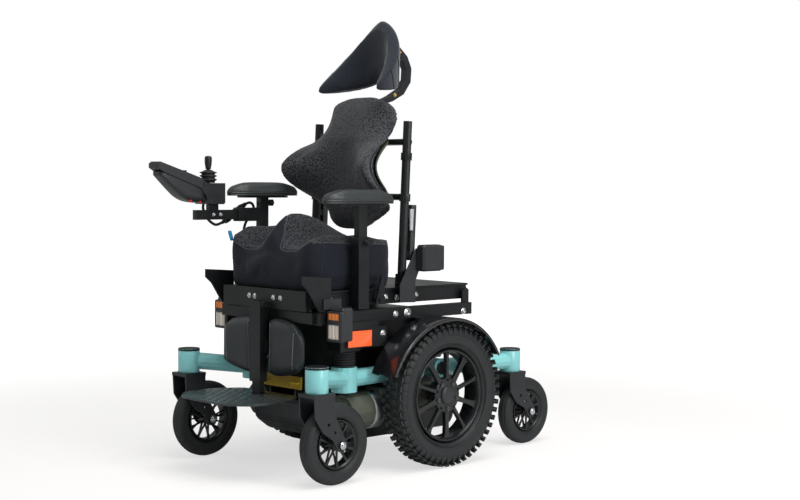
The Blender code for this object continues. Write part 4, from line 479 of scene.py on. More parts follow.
def blocky(bm, low, high, matrix=None):
    """A box between two corners, moved by a matrix."""
    size = Vector(high) - Vector(low)
    spot = Matrix.Translation((Vector(high) + Vector(low)) / 2) @ Matrix.Diagonal((*size, 1.0))
    bmesh.ops.create_cube(bm, size=1.0, matrix=(matrix or Matrix()) @ spot)


def surface_at(targets, centre, outward, reach=0.06):
    """Where a line from outside first meets one of the pieces, going inward."""
    graph = bpy.context.evaluated_depsgraph_get()
    outward = Vector(outward)
    best = None
    for target in targets:
        inverse = target.matrix_world.inverted()
        hit, spot, _, _ = target.ray_cast(inverse @ (Vector(centre) + outward * reach),
                                          (inverse.to_3x3() @ -outward).normalized(), distance=reach * 2,
                                          depsgraph=graph)
        if hit:
            place = target.matrix_world @ spot
            if best is None or (place - Vector(centre)).dot(outward) > (best - Vector(centre)).dot(outward):
                best = place
    return best


def node_centre(node):
    """The middle of a CAD node's box."""
    low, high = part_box(node)
    return (low + high) / 2


# %% [markdown]
# ## The carried-over CAD
# The CAD's rigid pieces already have their shapes, so they stay and only take a finish. A real
# edge is never quite sharp: a folded or cut sheet has a small round that catches the light. A
# Bevel modifier adds that round after a Weld closes the seams left by the file format.

# %% Finishes for the CAD nodes
CARRIED = {
    black_coat: ("base_frame", "seat_frame", "latch_lever", "back_frame", "armrest_post_left",
                 "armrest_post_right", "joystick_mount", "leg_mast", "leg_mast_lower"),
    olive_coat: ("drive_motor_left", "drive_motor_right"),
    black_plastic: ("battery_box", "power_controller", "joystick_pod", "headrest_bracket"),
    yellow_coat: ("tie_down_bracket",),
    mint_coat: ("front_arm_left", "front_arm_right", "rear_arm_left", "rear_arm_right"),
    fork_grey: tuple(f"caster_fork_{end}_{side}" for end in ENDS for side, _ in SIDES)
    + ("tilt_actuator_body",),
    dark_pin: ("joystick_gimbal",),
    zinc: ("tilt_actuator_rod", "power_button"),
    foot_plastic: ("footplate",),
    lamp_black: ("front_light_left", "front_light_right", "rear_light_left", "rear_light_right"),
}


def dress(node, material, width=0.0010):
    """Gives a CAD node its finish and its softened edges."""
    carried = NODES[node]
    carried.data.materials.clear()
    carried.data.materials.append(material)
    modify(carried, "WELD", merge_threshold=0.00002)
    softened(carried, width)


for material, names in CARRIED.items():
    for name in names:
        dress(name, material)
print("dressed", sum(len(names) for names in CARRIED.values()), "CAD nodes")

# %% [markdown]
# ## Wheels
# A pneumatic tyre is a rounded square in section, with its tread cut into rows of rubber
# blocks. The carcass is turned on a lathe, and the blocks are set round it one by one, each
# a small box rounded by a Bevel modifier. The outer rows wrap over the shoulders.

# %% Tyres
WHEEL_ACROSS = 0.2465
DRIVE_RADIUS, DRIVE_HALF, BEAD_RADIUS = 0.175, 0.0335, 0.1125
WALL_LINES = ((0.1235, 0.0030), (0.1480, 0.0028))
TREAD_BLOCKS, TREAD_HEIGHT = 52, 0.0050
# Each row: its place along the axle, the width of its blocks and its shift, counted in blocks.
TREAD_ROWS = ((-0.0265, 0.0115, 0.0), (-0.0090, 0.0145, 0.5), (0.0090, 0.0145, 0.0), (0.0265, 0.0115, 0.5))
SHOULDER_FROM, SHOULDER_TILT = 0.02, 0.38
SHOULDER_DROP, CROWN_DROP = 0.0062, TREAD_HEIGHT / 2 + 0.0004
SHOULDER_LUG = (0.0018, 0.0028, DRIVE_RADIUS - 0.026, DRIVE_RADIUS - 0.0095)
CASTER_BEAD = 0.60
CASTER_GROOVES, GROOVE_DEPTH, GROOVE_WIDTH = (-0.0085, 0.0, 0.0085), 0.0024, 0.0011


def tyre_section(inner, outer, half_width, square=2.7, count=40):
    """A rounded square section as (radius, along) points."""
    section = []
    for k in range(count):
        turn = math.tau * k / count
        out, across = (math.copysign(abs(part) ** (2 / square), part)
                       for part in (math.cos(turn), math.sin(turn)))
        section.append(((inner + outer) / 2 + out * (outer - inner) / 2, across * half_width))
    return section


def drive_tyre(side_name, side):
    """The driven wheel's block-treaded tyre."""
    centre = node_centre("drive_rim_" + side_name)
    centre.x = side * WHEEL_ACROSS
    bm = bmesh.new()
    carcass = tyre_section(BEAD_RADIUS, DRIVE_RADIUS - TREAD_HEIGHT * 0.9, DRIVE_HALF - 0.0008)
    lathe(bm, carcass, centre, steps=96)
    for radius, tall in WALL_LINES:
        for face in (1, -1):
            edge = face * (DRIVE_HALF - 0.0025)
            lathe(bm, [(radius - 0.0015, edge), (radius, edge + face * tall), (radius + 0.0015, edge)],
                  centre, steps=96)
    lug_x, lug_y, lug_low, lug_high = SHOULDER_LUG
    for row, width, offset in TREAD_ROWS:
        shoulder = abs(row) > SHOULDER_FROM
        tilt = Matrix.Rotation(-math.copysign(SHOULDER_TILT, row) if shoulder else 0.0, 4, "Y")
        lift = DRIVE_RADIUS - (SHOULDER_DROP if shoulder else CROWN_DROP)
        half = (width / 2, 0.0062 if shoulder else 0.0052, TREAD_HEIGHT / 2)
        edge = math.copysign(DRIVE_HALF - 0.0022, row)
        for k in range(TREAD_BLOCKS):
            turn = math.tau * (k + offset) / TREAD_BLOCKS
            spin = Matrix.Translation(centre) @ Matrix.Rotation(turn, 4, "X")
            blocky(bm, [-part for part in half], half, spin @ Matrix.Translation((row, 0.0, lift)) @ tilt)
            if shoulder:
                blocky(bm, (edge - lug_x, -lug_y, lug_low), (edge + lug_x, lug_y, lug_high), spin)
    tread = rubber("tyre_rubber_drive_" + side_name, centre.y, centre.z, 0.166, 0.174)
    made = piece("drive_tyre_tread_" + side_name, bm, tread, "drive_wheel_" + side_name)
    softened(made, 0.0009, 40.0, 1)
    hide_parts("drive_tyre_" + side_name)


def caster_tyre(end, side_name):
    """A caster's tyre, with three grooves round its tread."""
    name = f"{end}_{side_name}"
    low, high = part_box("caster_tyre_" + name)
    centre, radius = (low + high) / 2, (high.z - low.z) / 2
    half = (high.x - low.x) / 2
    section = []
    for reach, along in tyre_section(radius * CASTER_BEAD, radius, half, 2.5, 64):
        groove = max(math.exp(-((along - spot) / GROOVE_WIDTH) ** 2) for spot in CASTER_GROOVES)
        tread = 1.0 if reach > radius * 0.93 else 0.0
        wall = 0.0009 * math.exp(-((reach - radius * 0.80) / 0.0016) ** 2)
        section.append((reach - GROOVE_DEPTH * groove * tread, along - math.copysign(wall, along)))
    bm = bmesh.new()
    lathe(bm, section, centre, steps=80)
    made = piece("caster_tyre_ribbed_" + name, bm,
                 rubber("tyre_rubber_" + name, centre.y, centre.z, radius * 0.94, radius * 0.99),
                 "caster_wheel_" + name)
    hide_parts("caster_tyre_" + name)


for side_name, side in SIDES:
    drive_tyre(side_name, side)
    for end in ENDS:
        caster_tyre(end, side_name)
print("six tyres")

# %% [markdown]
# The rims are moulded in one piece with their spokes. The drive rim has five broad spokes and
# five slim ones in turn, a round cap in the middle and five wheel nuts round it. A spoke is a
# tapered bar that widens where it meets the rim, so it is built from several sections.

# %% Rims
RIM_SECTION = ((0.1125, -0.0255), (0.1125, 0.0215), (0.1118, 0.0248), (0.1095, 0.0258), (0.1068, 0.0246),
               (0.1040, 0.0190), (0.1022, 0.0120), (0.1030, -0.0210), (0.1050, -0.0255))
SPOKE_PAIRS, SPOKE_FRONT, SPOKE_DEPTH = 5, 0.0190, 0.0130
# A spoke's stations: the distance from the axle and the width there.
BROAD_SPOKE = ((0.034, 0.0150), (0.070, 0.0115), (0.096, 0.0150), (0.1045, 0.0240))
SLIM_SPOKE = ((0.034, 0.0095), (0.075, 0.0075), (0.096, 0.0085), (0.1045, 0.0150))
HUB_SECTION = ((0.0, 0.0190), (0.0405, 0.0190), (0.0425, 0.0165), (0.0425, 0.0060), (0.0300, 0.0030),
               (0.0300, -0.0240), (0.0125, -0.0240), (0.0125, 0.0080), (0.0, 0.0080))
HUB_CAP = ((0.0, 0.0255), (0.0120, 0.0252), (0.0195, 0.0240), (0.0222, 0.0215), (0.0226, 0.0180),
           (0.0, 0.0180))
NUT_RING = 0.0325
WHEEL_NUT = ((0.0022, 0.0), (0.0060, 0.0), (0.0060, 0.0012), (0.0045, 0.0014), (0.0045, 0.0046),
             (0.0022, 0.0050))
CASTER_SPOKES, CASTER_SPOKE_DEPTH = 10, 0.0050
CASTER_HUB = ((0.0052, -0.0235), (0.0110, -0.0235), (0.0118, -0.0160), (0.0150, -0.0140),
              (0.0150, 0.0140), (0.0118, 0.0160), (0.0110, 0.0235), (0.0052, 0.0235))


def outward(profile, side):
    """A wheel's profile, whose places along the axle grow towards that side."""
    return [(radius, side * along) for radius, along in profile]


def spoke(bm, centre, turn, stations, front, depth):
    """A tapered bar outwards from the hub. A station is (radius, width)."""
    spin = Matrix.Translation(centre) @ Matrix.Rotation(turn, 4, "X")
    rings = []
    for reach, width in stations:
        corners = ((front, -width / 2), (front, width / 2), (front - depth, width * 0.36),
                   (front - depth, -width * 0.36))
        rings.append([bm.verts.new(spin @ Vector((x, y, reach))) for x, y in corners])
    joined(bm, rings, caps=True)


def drive_rim(side_name, side):
    """The driven wheel's rim, spokes and hub plate."""
    centre = node_centre("drive_rim_" + side_name)
    centre.x = side * WHEEL_ACROSS
    front, depth = side * SPOKE_FRONT, side * SPOKE_DEPTH
    turns = [math.tau * k / SPOKE_PAIRS + math.pi for k in range(SPOKE_PAIRS)]
    bm = bmesh.new()
    lathe(bm, outward(RIM_SECTION, side), centre, steps=96)
    for turn in turns:
        spoke(bm, centre, turn, BROAD_SPOKE, front, depth)
        spoke(bm, centre, turn + math.pi / SPOKE_PAIRS, SLIM_SPOKE, front, depth)
    lathe(bm, outward(HUB_SECTION, side), centre, steps=48)
    made = piece("drive_rim_moulded_" + side_name, bm, wheel_plastic, "drive_wheel_" + side_name)
    softened(made, 0.0012, 30.0)
    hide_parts("drive_rim_" + side_name)
    bm = bmesh.new()
    lathe(bm, outward(HUB_CAP, side), centre, steps=48)
    piece("drive_hub_cap_" + side_name, bm, lamp_black, "drive_wheel_" + side_name)
    bm = bmesh.new()
    for turn in turns:
        nut = Vector((front, -NUT_RING * math.sin(turn), NUT_RING * math.cos(turn))) + centre
        lathe(bm, outward(WHEEL_NUT, side), nut, steps=6)
    nuts = piece("wheel_nuts_" + side_name, bm, dark_pin, "drive_wheel_" + side_name, smooth=False)


def caster_rim(end, side_name):
    """A caster's rim with ten slim spokes."""
    name = f"{end}_{side_name}"
    low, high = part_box("caster_tyre_" + name)
    centre = (low + high) / 2
    rim = (high.z - low.z) / 2 * CASTER_BEAD
    bm = bmesh.new()
    lathe(bm, [(rim, -0.0144), (rim, 0.0144), (rim - 0.0026, 0.0148), (rim - 0.0060, 0.0110),
               (rim - 0.0064, 0.0), (rim - 0.0060, -0.0110), (rim - 0.0026, -0.0148)], centre, steps=64)
    for face in (0.0125, -0.0075):
        for k in range(CASTER_SPOKES):
            spoke(bm, centre, math.tau * (k + (0.0 if face > 0 else 0.5)) / CASTER_SPOKES,
                  ((0.0120, 0.0060), (rim * 0.6, 0.0042), (rim - 0.0050, 0.0080)), face, CASTER_SPOKE_DEPTH)
    lathe(bm, CASTER_HUB, centre, steps=32)
    made = piece("caster_rim_moulded_" + name, bm, wheel_plastic, "caster_wheel_" + name)
    softened(made, 0.0008, 30.0, 1)
    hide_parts("caster_rim_" + name)


for side_name, side in SIDES:
    drive_rim(side_name, side)
    for end in ENDS:
        caster_rim(end, side_name)
print("six rims")

# %% [markdown]
# ## The studio
# The chair stands on a pale floor under big soft lamps. The floor shows the camera part of its
# brightness as its own glow, so its shadows stay as light as in a white studio. Other rays
# meet plain white paper, which throws light back under the chair.

# %% Floor, world and lamps
FLOOR_REACH = 14.0
STUDIO_WHITE = (1.0, 1.0, 1.0, 1.0)


def studio_floor():
    """A wide plane whose camera-side look is set apart from the light it gives back."""
    bm = bmesh.new()
    bmesh.ops.create_grid(bm, x_segments=1, y_segments=1, size=FLOOR_REACH)
    finish = Finish("floor_paper", Roughness=1.0, Specular_IOR_Level=0.0)
    tree = finish.tree
    finish.shader.inputs["Base Color"].default_value = (0.80, 0.80, 0.80, 1.0)
    seen = finish.node("ShaderNodeBsdfDiffuse", inputs={"Color": (0.42, 0.41, 0.40, 1.0)})
    x, y, _ = finish.axes()
    away = finish.node("ShaderNodeMath", {"operation": "SQRT"}, {0: x * x + y * y})
    fading = finish.blend(finish.ramp(away, 0.9, 3.2), rgb((0.62, 0.62, 0.62)), STUDIO_WHITE)
    glow = finish.node("ShaderNodeEmission", inputs={"Color": fading, "Strength": 1.0})
    both = finish.node("ShaderNodeAddShader", inputs={0: seen, 1: glow})
    path = finish.node("ShaderNodeLightPath", output="Is Camera Ray")
    shown = finish.node("ShaderNodeMixShader", inputs={0: path, 2: both})
    tree.links.new(finish.shader.outputs[0], shown.link.node.inputs[1])
    tree.links.new(shown.link, tree.nodes["Material Output"].inputs["Surface"])
    floor = piece("studio_floor", bm, finish.material, smooth=False)


def studio_world(strength):
    """White for the camera and for reflections, softer as a light."""
    world = bpy.data.worlds.new("studio_world")
    bpy.context.scene.world = world
    world.use_nodes = True
    nodes, links = world.node_tree.nodes, world.node_tree.links
    path, math_node = nodes.new("ShaderNodeLightPath"), nodes.new("ShaderNodeMath")
    math_node.operation = "MAXIMUM"
    links.new(path.outputs["Is Camera Ray"], math_node.inputs[0])
    links.new(path.outputs["Is Transmission Ray"], math_node.inputs[1])
    level = nodes.new("ShaderNodeMapRange")
    level.inputs["To Min"].default_value = strength
    links.new(math_node.outputs[0], level.inputs["Value"])
    links.new(level.outputs[0], nodes["Background"].inputs["Strength"])
    nodes["Background"].inputs["Color"].default_value = STUDIO_WHITE


def softbox(name, place, target, width, height, power, colour=(1.0, 1.0, 1.0)):
    """A rectangular lamp that faces a point."""
    data = bpy.data.lights.new(name, "AREA")
    data.shape, data.size, data.size_y, data.energy = "RECTANGLE", width, height, power
    data.color = colour
    lamp = bpy.data.objects.new(name, data)
    bpy.context.scene.collection.objects.link(lamp)
    lamp.location = place
    lamp.rotation_euler = (Vector(target) - Vector(place)).to_track_quat("-Z", "Y").to_euler()


studio_floor()
studio_world(0.32)
softbox("softbox_top", (0.9, -0.2, 2.9), (0.0, 0.0, 0.5), 2.0, 1.8, 52.0)
softbox("softbox_side", (-2.4, -1.6, 1.5), (0.0, 0.0, 0.6), 1.0, 1.8, 6.0, (0.96, 0.98, 1.0))
softbox("softbox_strip", (2.8, 0.1, 1.5), (0.0, 0.0, 0.6), 0.8, 1.8, 34.0)
bpy.context.scene.view_settings.view_transform = "Standard"

# %% [markdown]
# ## Covers and caps
# The fender is one thin moulded sheet that follows the tyre and opens out towards the front.
# It is swept as a closed section along its arc, with a rolled lip on the outer edge.

# %% Fenders, sleeves and caps
FENDER_FRONT, FENDER_REAR, FENDER_CELLS = 162.0, 28.0, 64
FENDER_OPENING, FENDER_LUG = 0.016, (0.3606, 0.3636)
FENDER_SECTION = ((0.2025, 0.1650), (0.2025, 0.1882), (0.2045, 0.1898), (0.2790, 0.1898), (0.2835, 0.1890),
                  (0.2853, 0.1865), (0.2848, 0.1820), (0.2828, 0.1822), (0.2828, 0.1858), (0.2780, 0.1868),
                  (0.2052, 0.1868), (0.2052, 0.1650))
SLEEVE_RIBS, SLEEVE_RIB_DEPTH = 6, 0.0060
HEAD_TUBES = {"front": (0.2455, -0.36825, 0.2712), "rear": (0.1695, 0.36275, 0.2535)}
TUBE_CAP = ((0.0, 0.0052), (0.0200, 0.0050), (0.0256, 0.0044), (0.0271, 0.0028), (0.0271, -0.0012),
            (0.0, -0.0012))
TUBE_SKIN = ((0.0256, -0.0010), (0.0264, -0.0010), (0.0267, -0.0013), (0.0267, -0.0546), (0.0262, -0.0554),
             (0.0256, -0.0554))


def fender(side_name, side):
    """The wheel's arched cover."""
    low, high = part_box("drive_tyre_" + side_name)
    centre_y, centre_z = (low.y + high.y) / 2, (low.z + high.z) / 2
    bm = bmesh.new()
    rings = []
    for k in range(FENDER_CELLS + 1):
        degrees = FENDER_REAR + (FENDER_FRONT - FENDER_REAR) * k / FENDER_CELLS
        opening = FENDER_OPENING * max(0.0, (degrees - 90) / (FENDER_FRONT - 90)) ** 2
        across, up = math.cos(math.radians(degrees)), math.sin(math.radians(degrees))
        rings.append([bm.verts.new((side * x, centre_y + (radius + opening) * across,
                                    centre_z + (radius + opening) * up)) for x, radius in FENDER_SECTION])
    joined(bm, rings, caps=True)
    inner = min(abs(corner.x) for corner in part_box("fender_" + side_name))
    blocky(bm, (side * inner, centre_y - 0.050, FENDER_LUG[0]),
           (side * 0.2060, centre_y + 0.020, FENDER_LUG[1]))
    made = piece("fender_moulded_" + side_name, bm, fender_black, "base")
    softened(made, 0.0007, 40.0)
    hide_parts("fender_" + side_name)


def bellows(side_name):
    """The ribbed rubber sleeve over a front arm's spring."""
    low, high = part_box("bellows_" + side_name)
    centre = (low + high) / 2
    outer, tall = (high.x - low.x) / 2, high.z - low.z
    shares = [k / (SLEEVE_RIBS * 8) for k in range(SLEEVE_RIBS * 8 + 1)]
    crests = [0.5 - 0.5 * math.cos(math.tau * SLEEVE_RIBS * share) for share in shares]
    profile = [(outer - 0.0062 + SLEEVE_RIB_DEPTH * crest, tall * (share - 0.5))
               for share, crest in zip(shares, crests)]
    bm = bmesh.new()
    lathe(bm, profile + [(outer - 0.0085, tall / 2), (outer - 0.0085, -tall / 2)], centre, "Z", 48)
    made = piece("spring_sleeve_" + side_name, bm, boot_rubber, "base")
    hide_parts("bellows_" + side_name)
    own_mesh(made)


def tube_cap(end, side_name, side):
    """The black plug in the top of a caster's head tube, and the tube's painted skin."""
    x, y, z = HEAD_TUBES[end]
    bm = bmesh.new()
    lathe(bm, TUBE_CAP, (side * x, y, z), "Z", 48)
    piece(f"head_tube_cap_{end}_{side_name}", bm, black_plastic, f"{end}_arm_{side_name}")
    bm = bmesh.new()
    lathe(bm, TUBE_SKIN, (side * x, y, z), "Z", 64)
    piece(f"head_tube_skin_{end}_{side_name}", bm, mint_coat, f"{end}_arm_{side_name}")


for side_name, side in SIDES:
    fender(side_name, side)
    bellows(side_name)
    for end in ENDS:
        tube_cap(end, side_name, side)
print("covers and caps")

# %% [markdown]
# ## Soft goods
# The cushions are foam in sewn covers. Each is a closed grid of points: two faces and a rim,
# where u runs across, w runs up or along, and v goes from one face to the other. The table
# lookups are smooth curves through the measured widths, so the outlines have no corners.
# Their places along Y are counted from the drive axle, CHAIR_SHIFT behind the scene's origin.

# %% Grids for cushions
CHAIR_SHIFT = 0.03175
COVER_PRESSURE, SWELL_LIMIT, SWELL_FRAMES = 3.0, 0.003, 20


def curve(value, table):
    """A smooth curve through a table of (place, value) pairs."""
    places = [row[0] for row in table]
    k = min(max(int(np.searchsorted(places, value)) - 1, 0), len(table) - 2)
    (low, first), (high, second) = table[k], table[k + 1]
    t = min(max((value - low) / (high - low), 0.0), 1.0)

    def slope(i):
        before, after = table[max(i - 1, 0)], table[min(i + 1, len(table) - 1)]
        return (after[1] - before[1]) / (after[0] - before[0])
    width = high - low
    return ((2 * t ** 3 - 3 * t * t + 1) * first + (t ** 3 - 2 * t * t + t) * width * slope(k)
            + (3 * t * t - 2 * t ** 3) * second + (t ** 3 - t * t) * width * slope(k + 1))


def hill(value, centre, width):
    """A smooth hill of height one."""
    return math.exp(-((value - centre) / width) ** 2)


def cushion_grid(bm, across, up, rim, shape):
    """A closed cushion: a front and a rear face of points, joined by a rim."""
    def spot(i, k, j):
        return bm.verts.new(shape(-1 + 2 * i / across, -1 + 2 * k / rim, -1 + 2 * j / up))

    def face(k):
        return [[spot(i, k, j) for j in range(up + 1)] for i in range(across + 1)]
    first, last = face(0), face(rim)
    edge = [(i, 0) for i in range(across)] + [(across, j) for j in range(up)]
    edge += [(i, up) for i in range(across, 0, -1)] + [(0, j) for j in range(up, 0, -1)]
    between = [[spot(i, k, j) for i, j in edge] for k in range(1, rim)]
    joined(bm, [[first[i][j] for i, j in edge], *between, [last[i][j] for i, j in edge]])
    sheet(bm, first)
    sheet(bm, last)


def rounded_square(u, w, corner=4.0):
    """Moves a square grid's points so that its corners are round."""
    reach = max(abs(u), abs(w))
    if reach < 1e-9:
        return u, w
    length = (abs(u) ** corner + abs(w) ** corner) ** (1 / corner)
    return u * reach / length, w * reach / length


def crown(u, w, depth, reach):
    """How far a padded face falls towards its edges."""
    out = max(0.0, (max(abs(u), abs(w)) - reach) / (1 - reach))
    return depth * (1 - math.sqrt(max(0.0, 1 - out ** 2)))


def nearest_on(target):
    """A function that moves a point onto a piece's surface, or above it by a lift."""
    tree = BVHTree.FromObject(target, bpy.context.evaluated_depsgraph_get())

    def onto(point, lift=0.0):
        spot, normal, _, _ = tree.find_nearest(Vector(point))
        return spot + normal * lift
    return onto


def piping(name, target, lines, radius, body, material=piping_cloth, lift=0.0, count=140):
    """Cords sewn along lines on a cushion's surface."""
    onto, bm = nearest_on(target), bmesh.new()
    for knots in lines:
        line = [onto(point, lift) for point in smooth_line(knots, count)]
        for _ in range(3):
            eased = [(a + 2 * b + c) / 4 for a, b, c in zip(line, line[1:], line[2:])]
            line = [line[0], *eased, line[-1]]
        tube(bm, line, radius, 8)
    made = piece(name, bm, material, body)


def evaluated_mesh(target):
    """A piece's mesh as its modifiers leave it."""
    return bpy.data.meshes.new_from_object(target.evaluated_get(bpy.context.evaluated_depsgraph_get()))


def points_of(mesh):
    """A mesh's points as an array."""
    return np.array([vertex.co for vertex in mesh.vertices])


def inflated(target, voxel=0.005):
    """Lets Blender's cloth swell a closed cover, as foam fills it, no further than a limit."""
    material = target.data.materials[0]
    modify(target, "REMESH", mode="VOXEL", voxel_size=voxel)
    bpy.context.view_layer.update()
    remeshed = evaluated_mesh(target)
    target.modifiers.clear()
    target.data = remeshed
    rest = points_of(remeshed)
    cloth = modify(target, "CLOTH")
    cloth.settings.use_pressure, cloth.settings.uniform_pressure_force = True, COVER_PRESSURE
    cloth.settings.effector_weights.gravity = 0.0
    scene = bpy.context.scene
    for number in range(1, SWELL_FRAMES + 1):
        scene.frame_set(number)
    swollen = evaluated_mesh(target)
    moved = points_of(swollen) - rest
    length = np.linalg.norm(moved, axis=1, keepdims=True)
    moved *= np.minimum(1.0, SWELL_LIMIT / np.maximum(length, 1e-9))
    swollen.vertices.foreach_set("co", (rest + moved).ravel())
    target.modifiers.clear()
    target.data = swollen
    if not swollen.materials:
        swollen.materials.append(material)
    swollen.polygons.foreach_set("use_smooth", [True] * len(swollen.polygons))
    scene.frame_set(1)


# %% [markdown]
# The seat cushion has a channel for each thigh and a raised nose between the knees. Its walls
# are neoprene and its top is spacer mesh, joined by a sewn cord. One material does both: a mask
# made from the point's place decides which cloth is there, and the cord follows the same line.

# %% Seat cushion
CUSHION_HALF, CUSHION_FRONT, CUSHION_REAR = 0.158, -0.350, -0.078
TONGUE_WIDTH, TONGUE_END, LIP_Z = 0.046, -0.284, 0.532
NOSE_PLACE, NOSE_HEIGHT, SEAT_HEIGHT = -0.264, 0.082, 0.530
THIGH_EDGE, THIGH_WIDTH, LEFT_RISE, RIGHT_RISE = 0.088, 0.052, 0.036, 0.050
CORD_SIDE, SEAM_SIDE = 0.156, 0.156


def cushion_height(x, y):
    """The height of the cushion's top."""
    nose_along = hill(y, NOSE_PLACE, 0.088 if y < NOSE_PLACE else 0.160)
    nose = NOSE_HEIGHT * hill(x, 0.0, 0.030 + 0.10 * max(0.0, y + 0.300)) * nose_along
    share = min(max((abs(x) - THIGH_EDGE) / THIGH_WIDTH, 0.0), 1.0)
    rise = (LEFT_RISE if x > 0 else RIGHT_RISE) * share * share * (3 - 2 * share)
    along = min(max((y + 0.356) / 0.060, 0.0), 1.0)
    return SEAT_HEIGHT + nose + rise * (0.45 + 0.55 * along) * (1 - 0.45 * max(0.0, y + 0.17) / 0.09)


def cushion_material():
    """Neoprene on the walls and the nose's tongue, spacer mesh on the rest of the top."""
    finish = Finish("cushion_cloth", Sheen_Weight=0.15, Sheen_Roughness=0.45, Specular_IOR_Level=0.25)
    x, y, z = finish.axes()
    out = finish.node("ShaderNodeMath", {"operation": "ABSOLUTE"}, {0: x})
    along = y - CHAIR_SHIFT
    tongue = finish.ramp(along, CUSHION_FRONT, TONGUE_END, TONGUE_WIDTH, 0.0)
    lip = finish.ramp(out, 0.095, CUSHION_HALF, LIP_Z, LIP_Z + 0.016) \
        - finish.ramp(along, -0.300, -0.090, 0.0, 0.008)
    mask = (out > tongue) * (z > lip)
    cloud = finish.noise(9.0, 4.0)
    plain = finish.blend(cloud, rgb((0.0050, 0.0068, 0.0125)), rgb((0.0100, 0.0130, 0.0220)))
    # The spacer mesh brings its painted shade in the holes.
    holes, mesh = mesh_colour(finish)
    finish.set("Base Color", finish.blend(mask, plain, mesh))
    finish.set("Roughness", finish.ramp(cloud, 0.3, 0.7, 0.80, 0.90))
    finish.bump(mask * (1.0 - holes) + finish.noise(1400.0, 2.0) * 0.15, 0.8, 0.0011)
    return finish.material


def seat_cushion():
    """The shaped cushion with its sewn cords and seams."""
    middle, half = (CUSHION_FRONT + CUSHION_REAR) / 2, (CUSHION_REAR - CUSHION_FRONT) / 2
    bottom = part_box("seat_cushion")[0].z

    def shape(u, v, w):
        u, w = rounded_square(u, w, 12.0)
        drawn_in = 1 - 0.030 * v * v
        x, y = u * CUSHION_HALF * drawn_in, middle + w * half * drawn_in
        top = cushion_height(x, y) - crown(u, w, 0.010, 0.90)
        wave = 0.0010 * math.sin(11 * u + 3 * v) * (1 - v * v)
        return x + wave, y + CHAIR_SHIFT + wave, bottom + (top - bottom) * (v + 1) / 2

    bm = bmesh.new()
    cushion_grid(bm, 72, 62, 14, shape)
    made = piece("seat_cushion_cover", bm, cushion_material(), "seat")
    inflated(made)
    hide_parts("seat_cushion")
    front = CUSHION_FRONT + 0.004
    cords = []
    for _, side in SIDES:
        line = [(side * share * TONGUE_WIDTH, TONGUE_END + (CUSHION_FRONT - TONGUE_END) * share, 0)
                for share in (0.04, 0.25, 0.5, 0.75, 0.93)]
        line = [(x, y + CHAIR_SHIFT, cushion_height(x, y)) for x, y, _ in line]
        line += [(side * x, front + CHAIR_SHIFT, LIP_Z + 0.012 * max(0.0, x - 0.10) / 0.05)
                 for x in (0.056, 0.075, 0.095, 0.115)]
        line += [(side * 0.136, front + CHAIR_SHIFT + 0.010, LIP_Z + 0.012),
                 (side * 0.154, front + CHAIR_SHIFT + 0.045, LIP_Z + 0.016),
                 (side * CORD_SIDE, CHAIR_SHIFT - 0.240, LIP_Z + 0.014),
                 (side * CORD_SIDE, CHAIR_SHIFT - 0.110, LIP_Z + 0.009)]
        cords.append(line)
    piping("seat_cushion_cord", made, cords, 0.0012, "seat")
    seams = [[(side * SEAM_SIDE, CHAIR_SHIFT - 0.306 - 0.012 * (0.53 - z) / 0.08, z)
              for z in (0.455, 0.480, 0.505, 0.540)] for _, side in SIDES]
    piping("seat_cushion_seam", made, seams, 0.0007, "seat", navy_cloth, count=30)


TAB_BULGE, TAB_THICKNESS = 0.0012, 0.0006


def folded_tab(name, body, corner, across, up):
    """A short loop of tape sewn into a seam."""
    bm = bmesh.new()
    across, up = Vector(across), Vector(up)
    away = across.cross(up).normalized() * TAB_BULGE
    for way in (-1, 1):
        sheet(bm, [[bm.verts.new(Vector(corner) + across * i / 4 + up * j / 6
                                 + away * way * math.sin(math.pi * j / 7)) for j in range(7)]
                   for i in range(5)])
    made = piece(name, bm, blue_tape, body)
    modify(made, "SOLIDIFY", thickness=TAB_THICKNESS, offset=0.0)


seat_cushion()
folded_tab("seat_cushion_tab", "seat", (-0.148, -0.304, 0.545), (0, -0.010, 0), (-0.010, 0, 0.024))

# %% [markdown]
# The back cushion curls round the trunk. Its front and border are spacer mesh over foam, and a
# smooth neoprene panel is sewn on the outside of each wing. A thin moulded shell holds it from
# behind. The same three curves place all of these.

# %% Back cushion and shell
# Half the cushion's width, and how far its wings curl forward, at each height.
BACK_HALF = ((0.572, 0.056), (0.605, 0.088), (0.638, 0.122), (0.672, 0.146), (0.705, 0.153),
             (0.738, 0.152), (0.772, 0.140), (0.805, 0.120), (0.855, 0.112), (0.888, 0.096), (0.905, 0.058))
BACK_CURL = ((0.572, -0.020), (0.616, -0.030), (0.642, 0.004), (0.672, 0.036), (0.705, 0.058),
             (0.738, 0.062), (0.772, 0.044), (0.805, 0.0), (0.855, -0.026), (0.905, -0.010))
BACK_BOTTOM, BACK_TALL, BACK_THICKNESS = 0.572, 0.333, 0.044
BACK_REAR, BACK_BEND, BACK_LEAN = -0.0605, 0.800, 0.35
PANEL_PLACE, PANEL_HALF = 0.80, 0.12
PANEL_EDGE = ((0.2, 0.14), (0.75, 0.18), (1.0, 0.28), (1.0, 0.48), (0.75, 0.58), (0.2, 0.62))
PANEL_RIB = (0.18, 0.30, 0.45, 0.58)
BORDER_HALF = ((0.95, 0.12), (0.975, 0.30), (0.98, 0.55), (0.96, 0.80), (0.80, 0.955), (0.40, 0.985))


def back_point(u, level):
    """A point on the back cushion's rear face, with u across and level from 0 to 1 upwards."""
    z = BACK_BOTTOM + BACK_TALL * level
    x = u * curve(z, BACK_HALF)
    y = BACK_REAR + BACK_LEAN * max(0.0, z - BACK_BEND) - curve(z, BACK_CURL) * abs(x / 0.12) ** 2.2
    return x, y + CHAIR_SHIFT, z


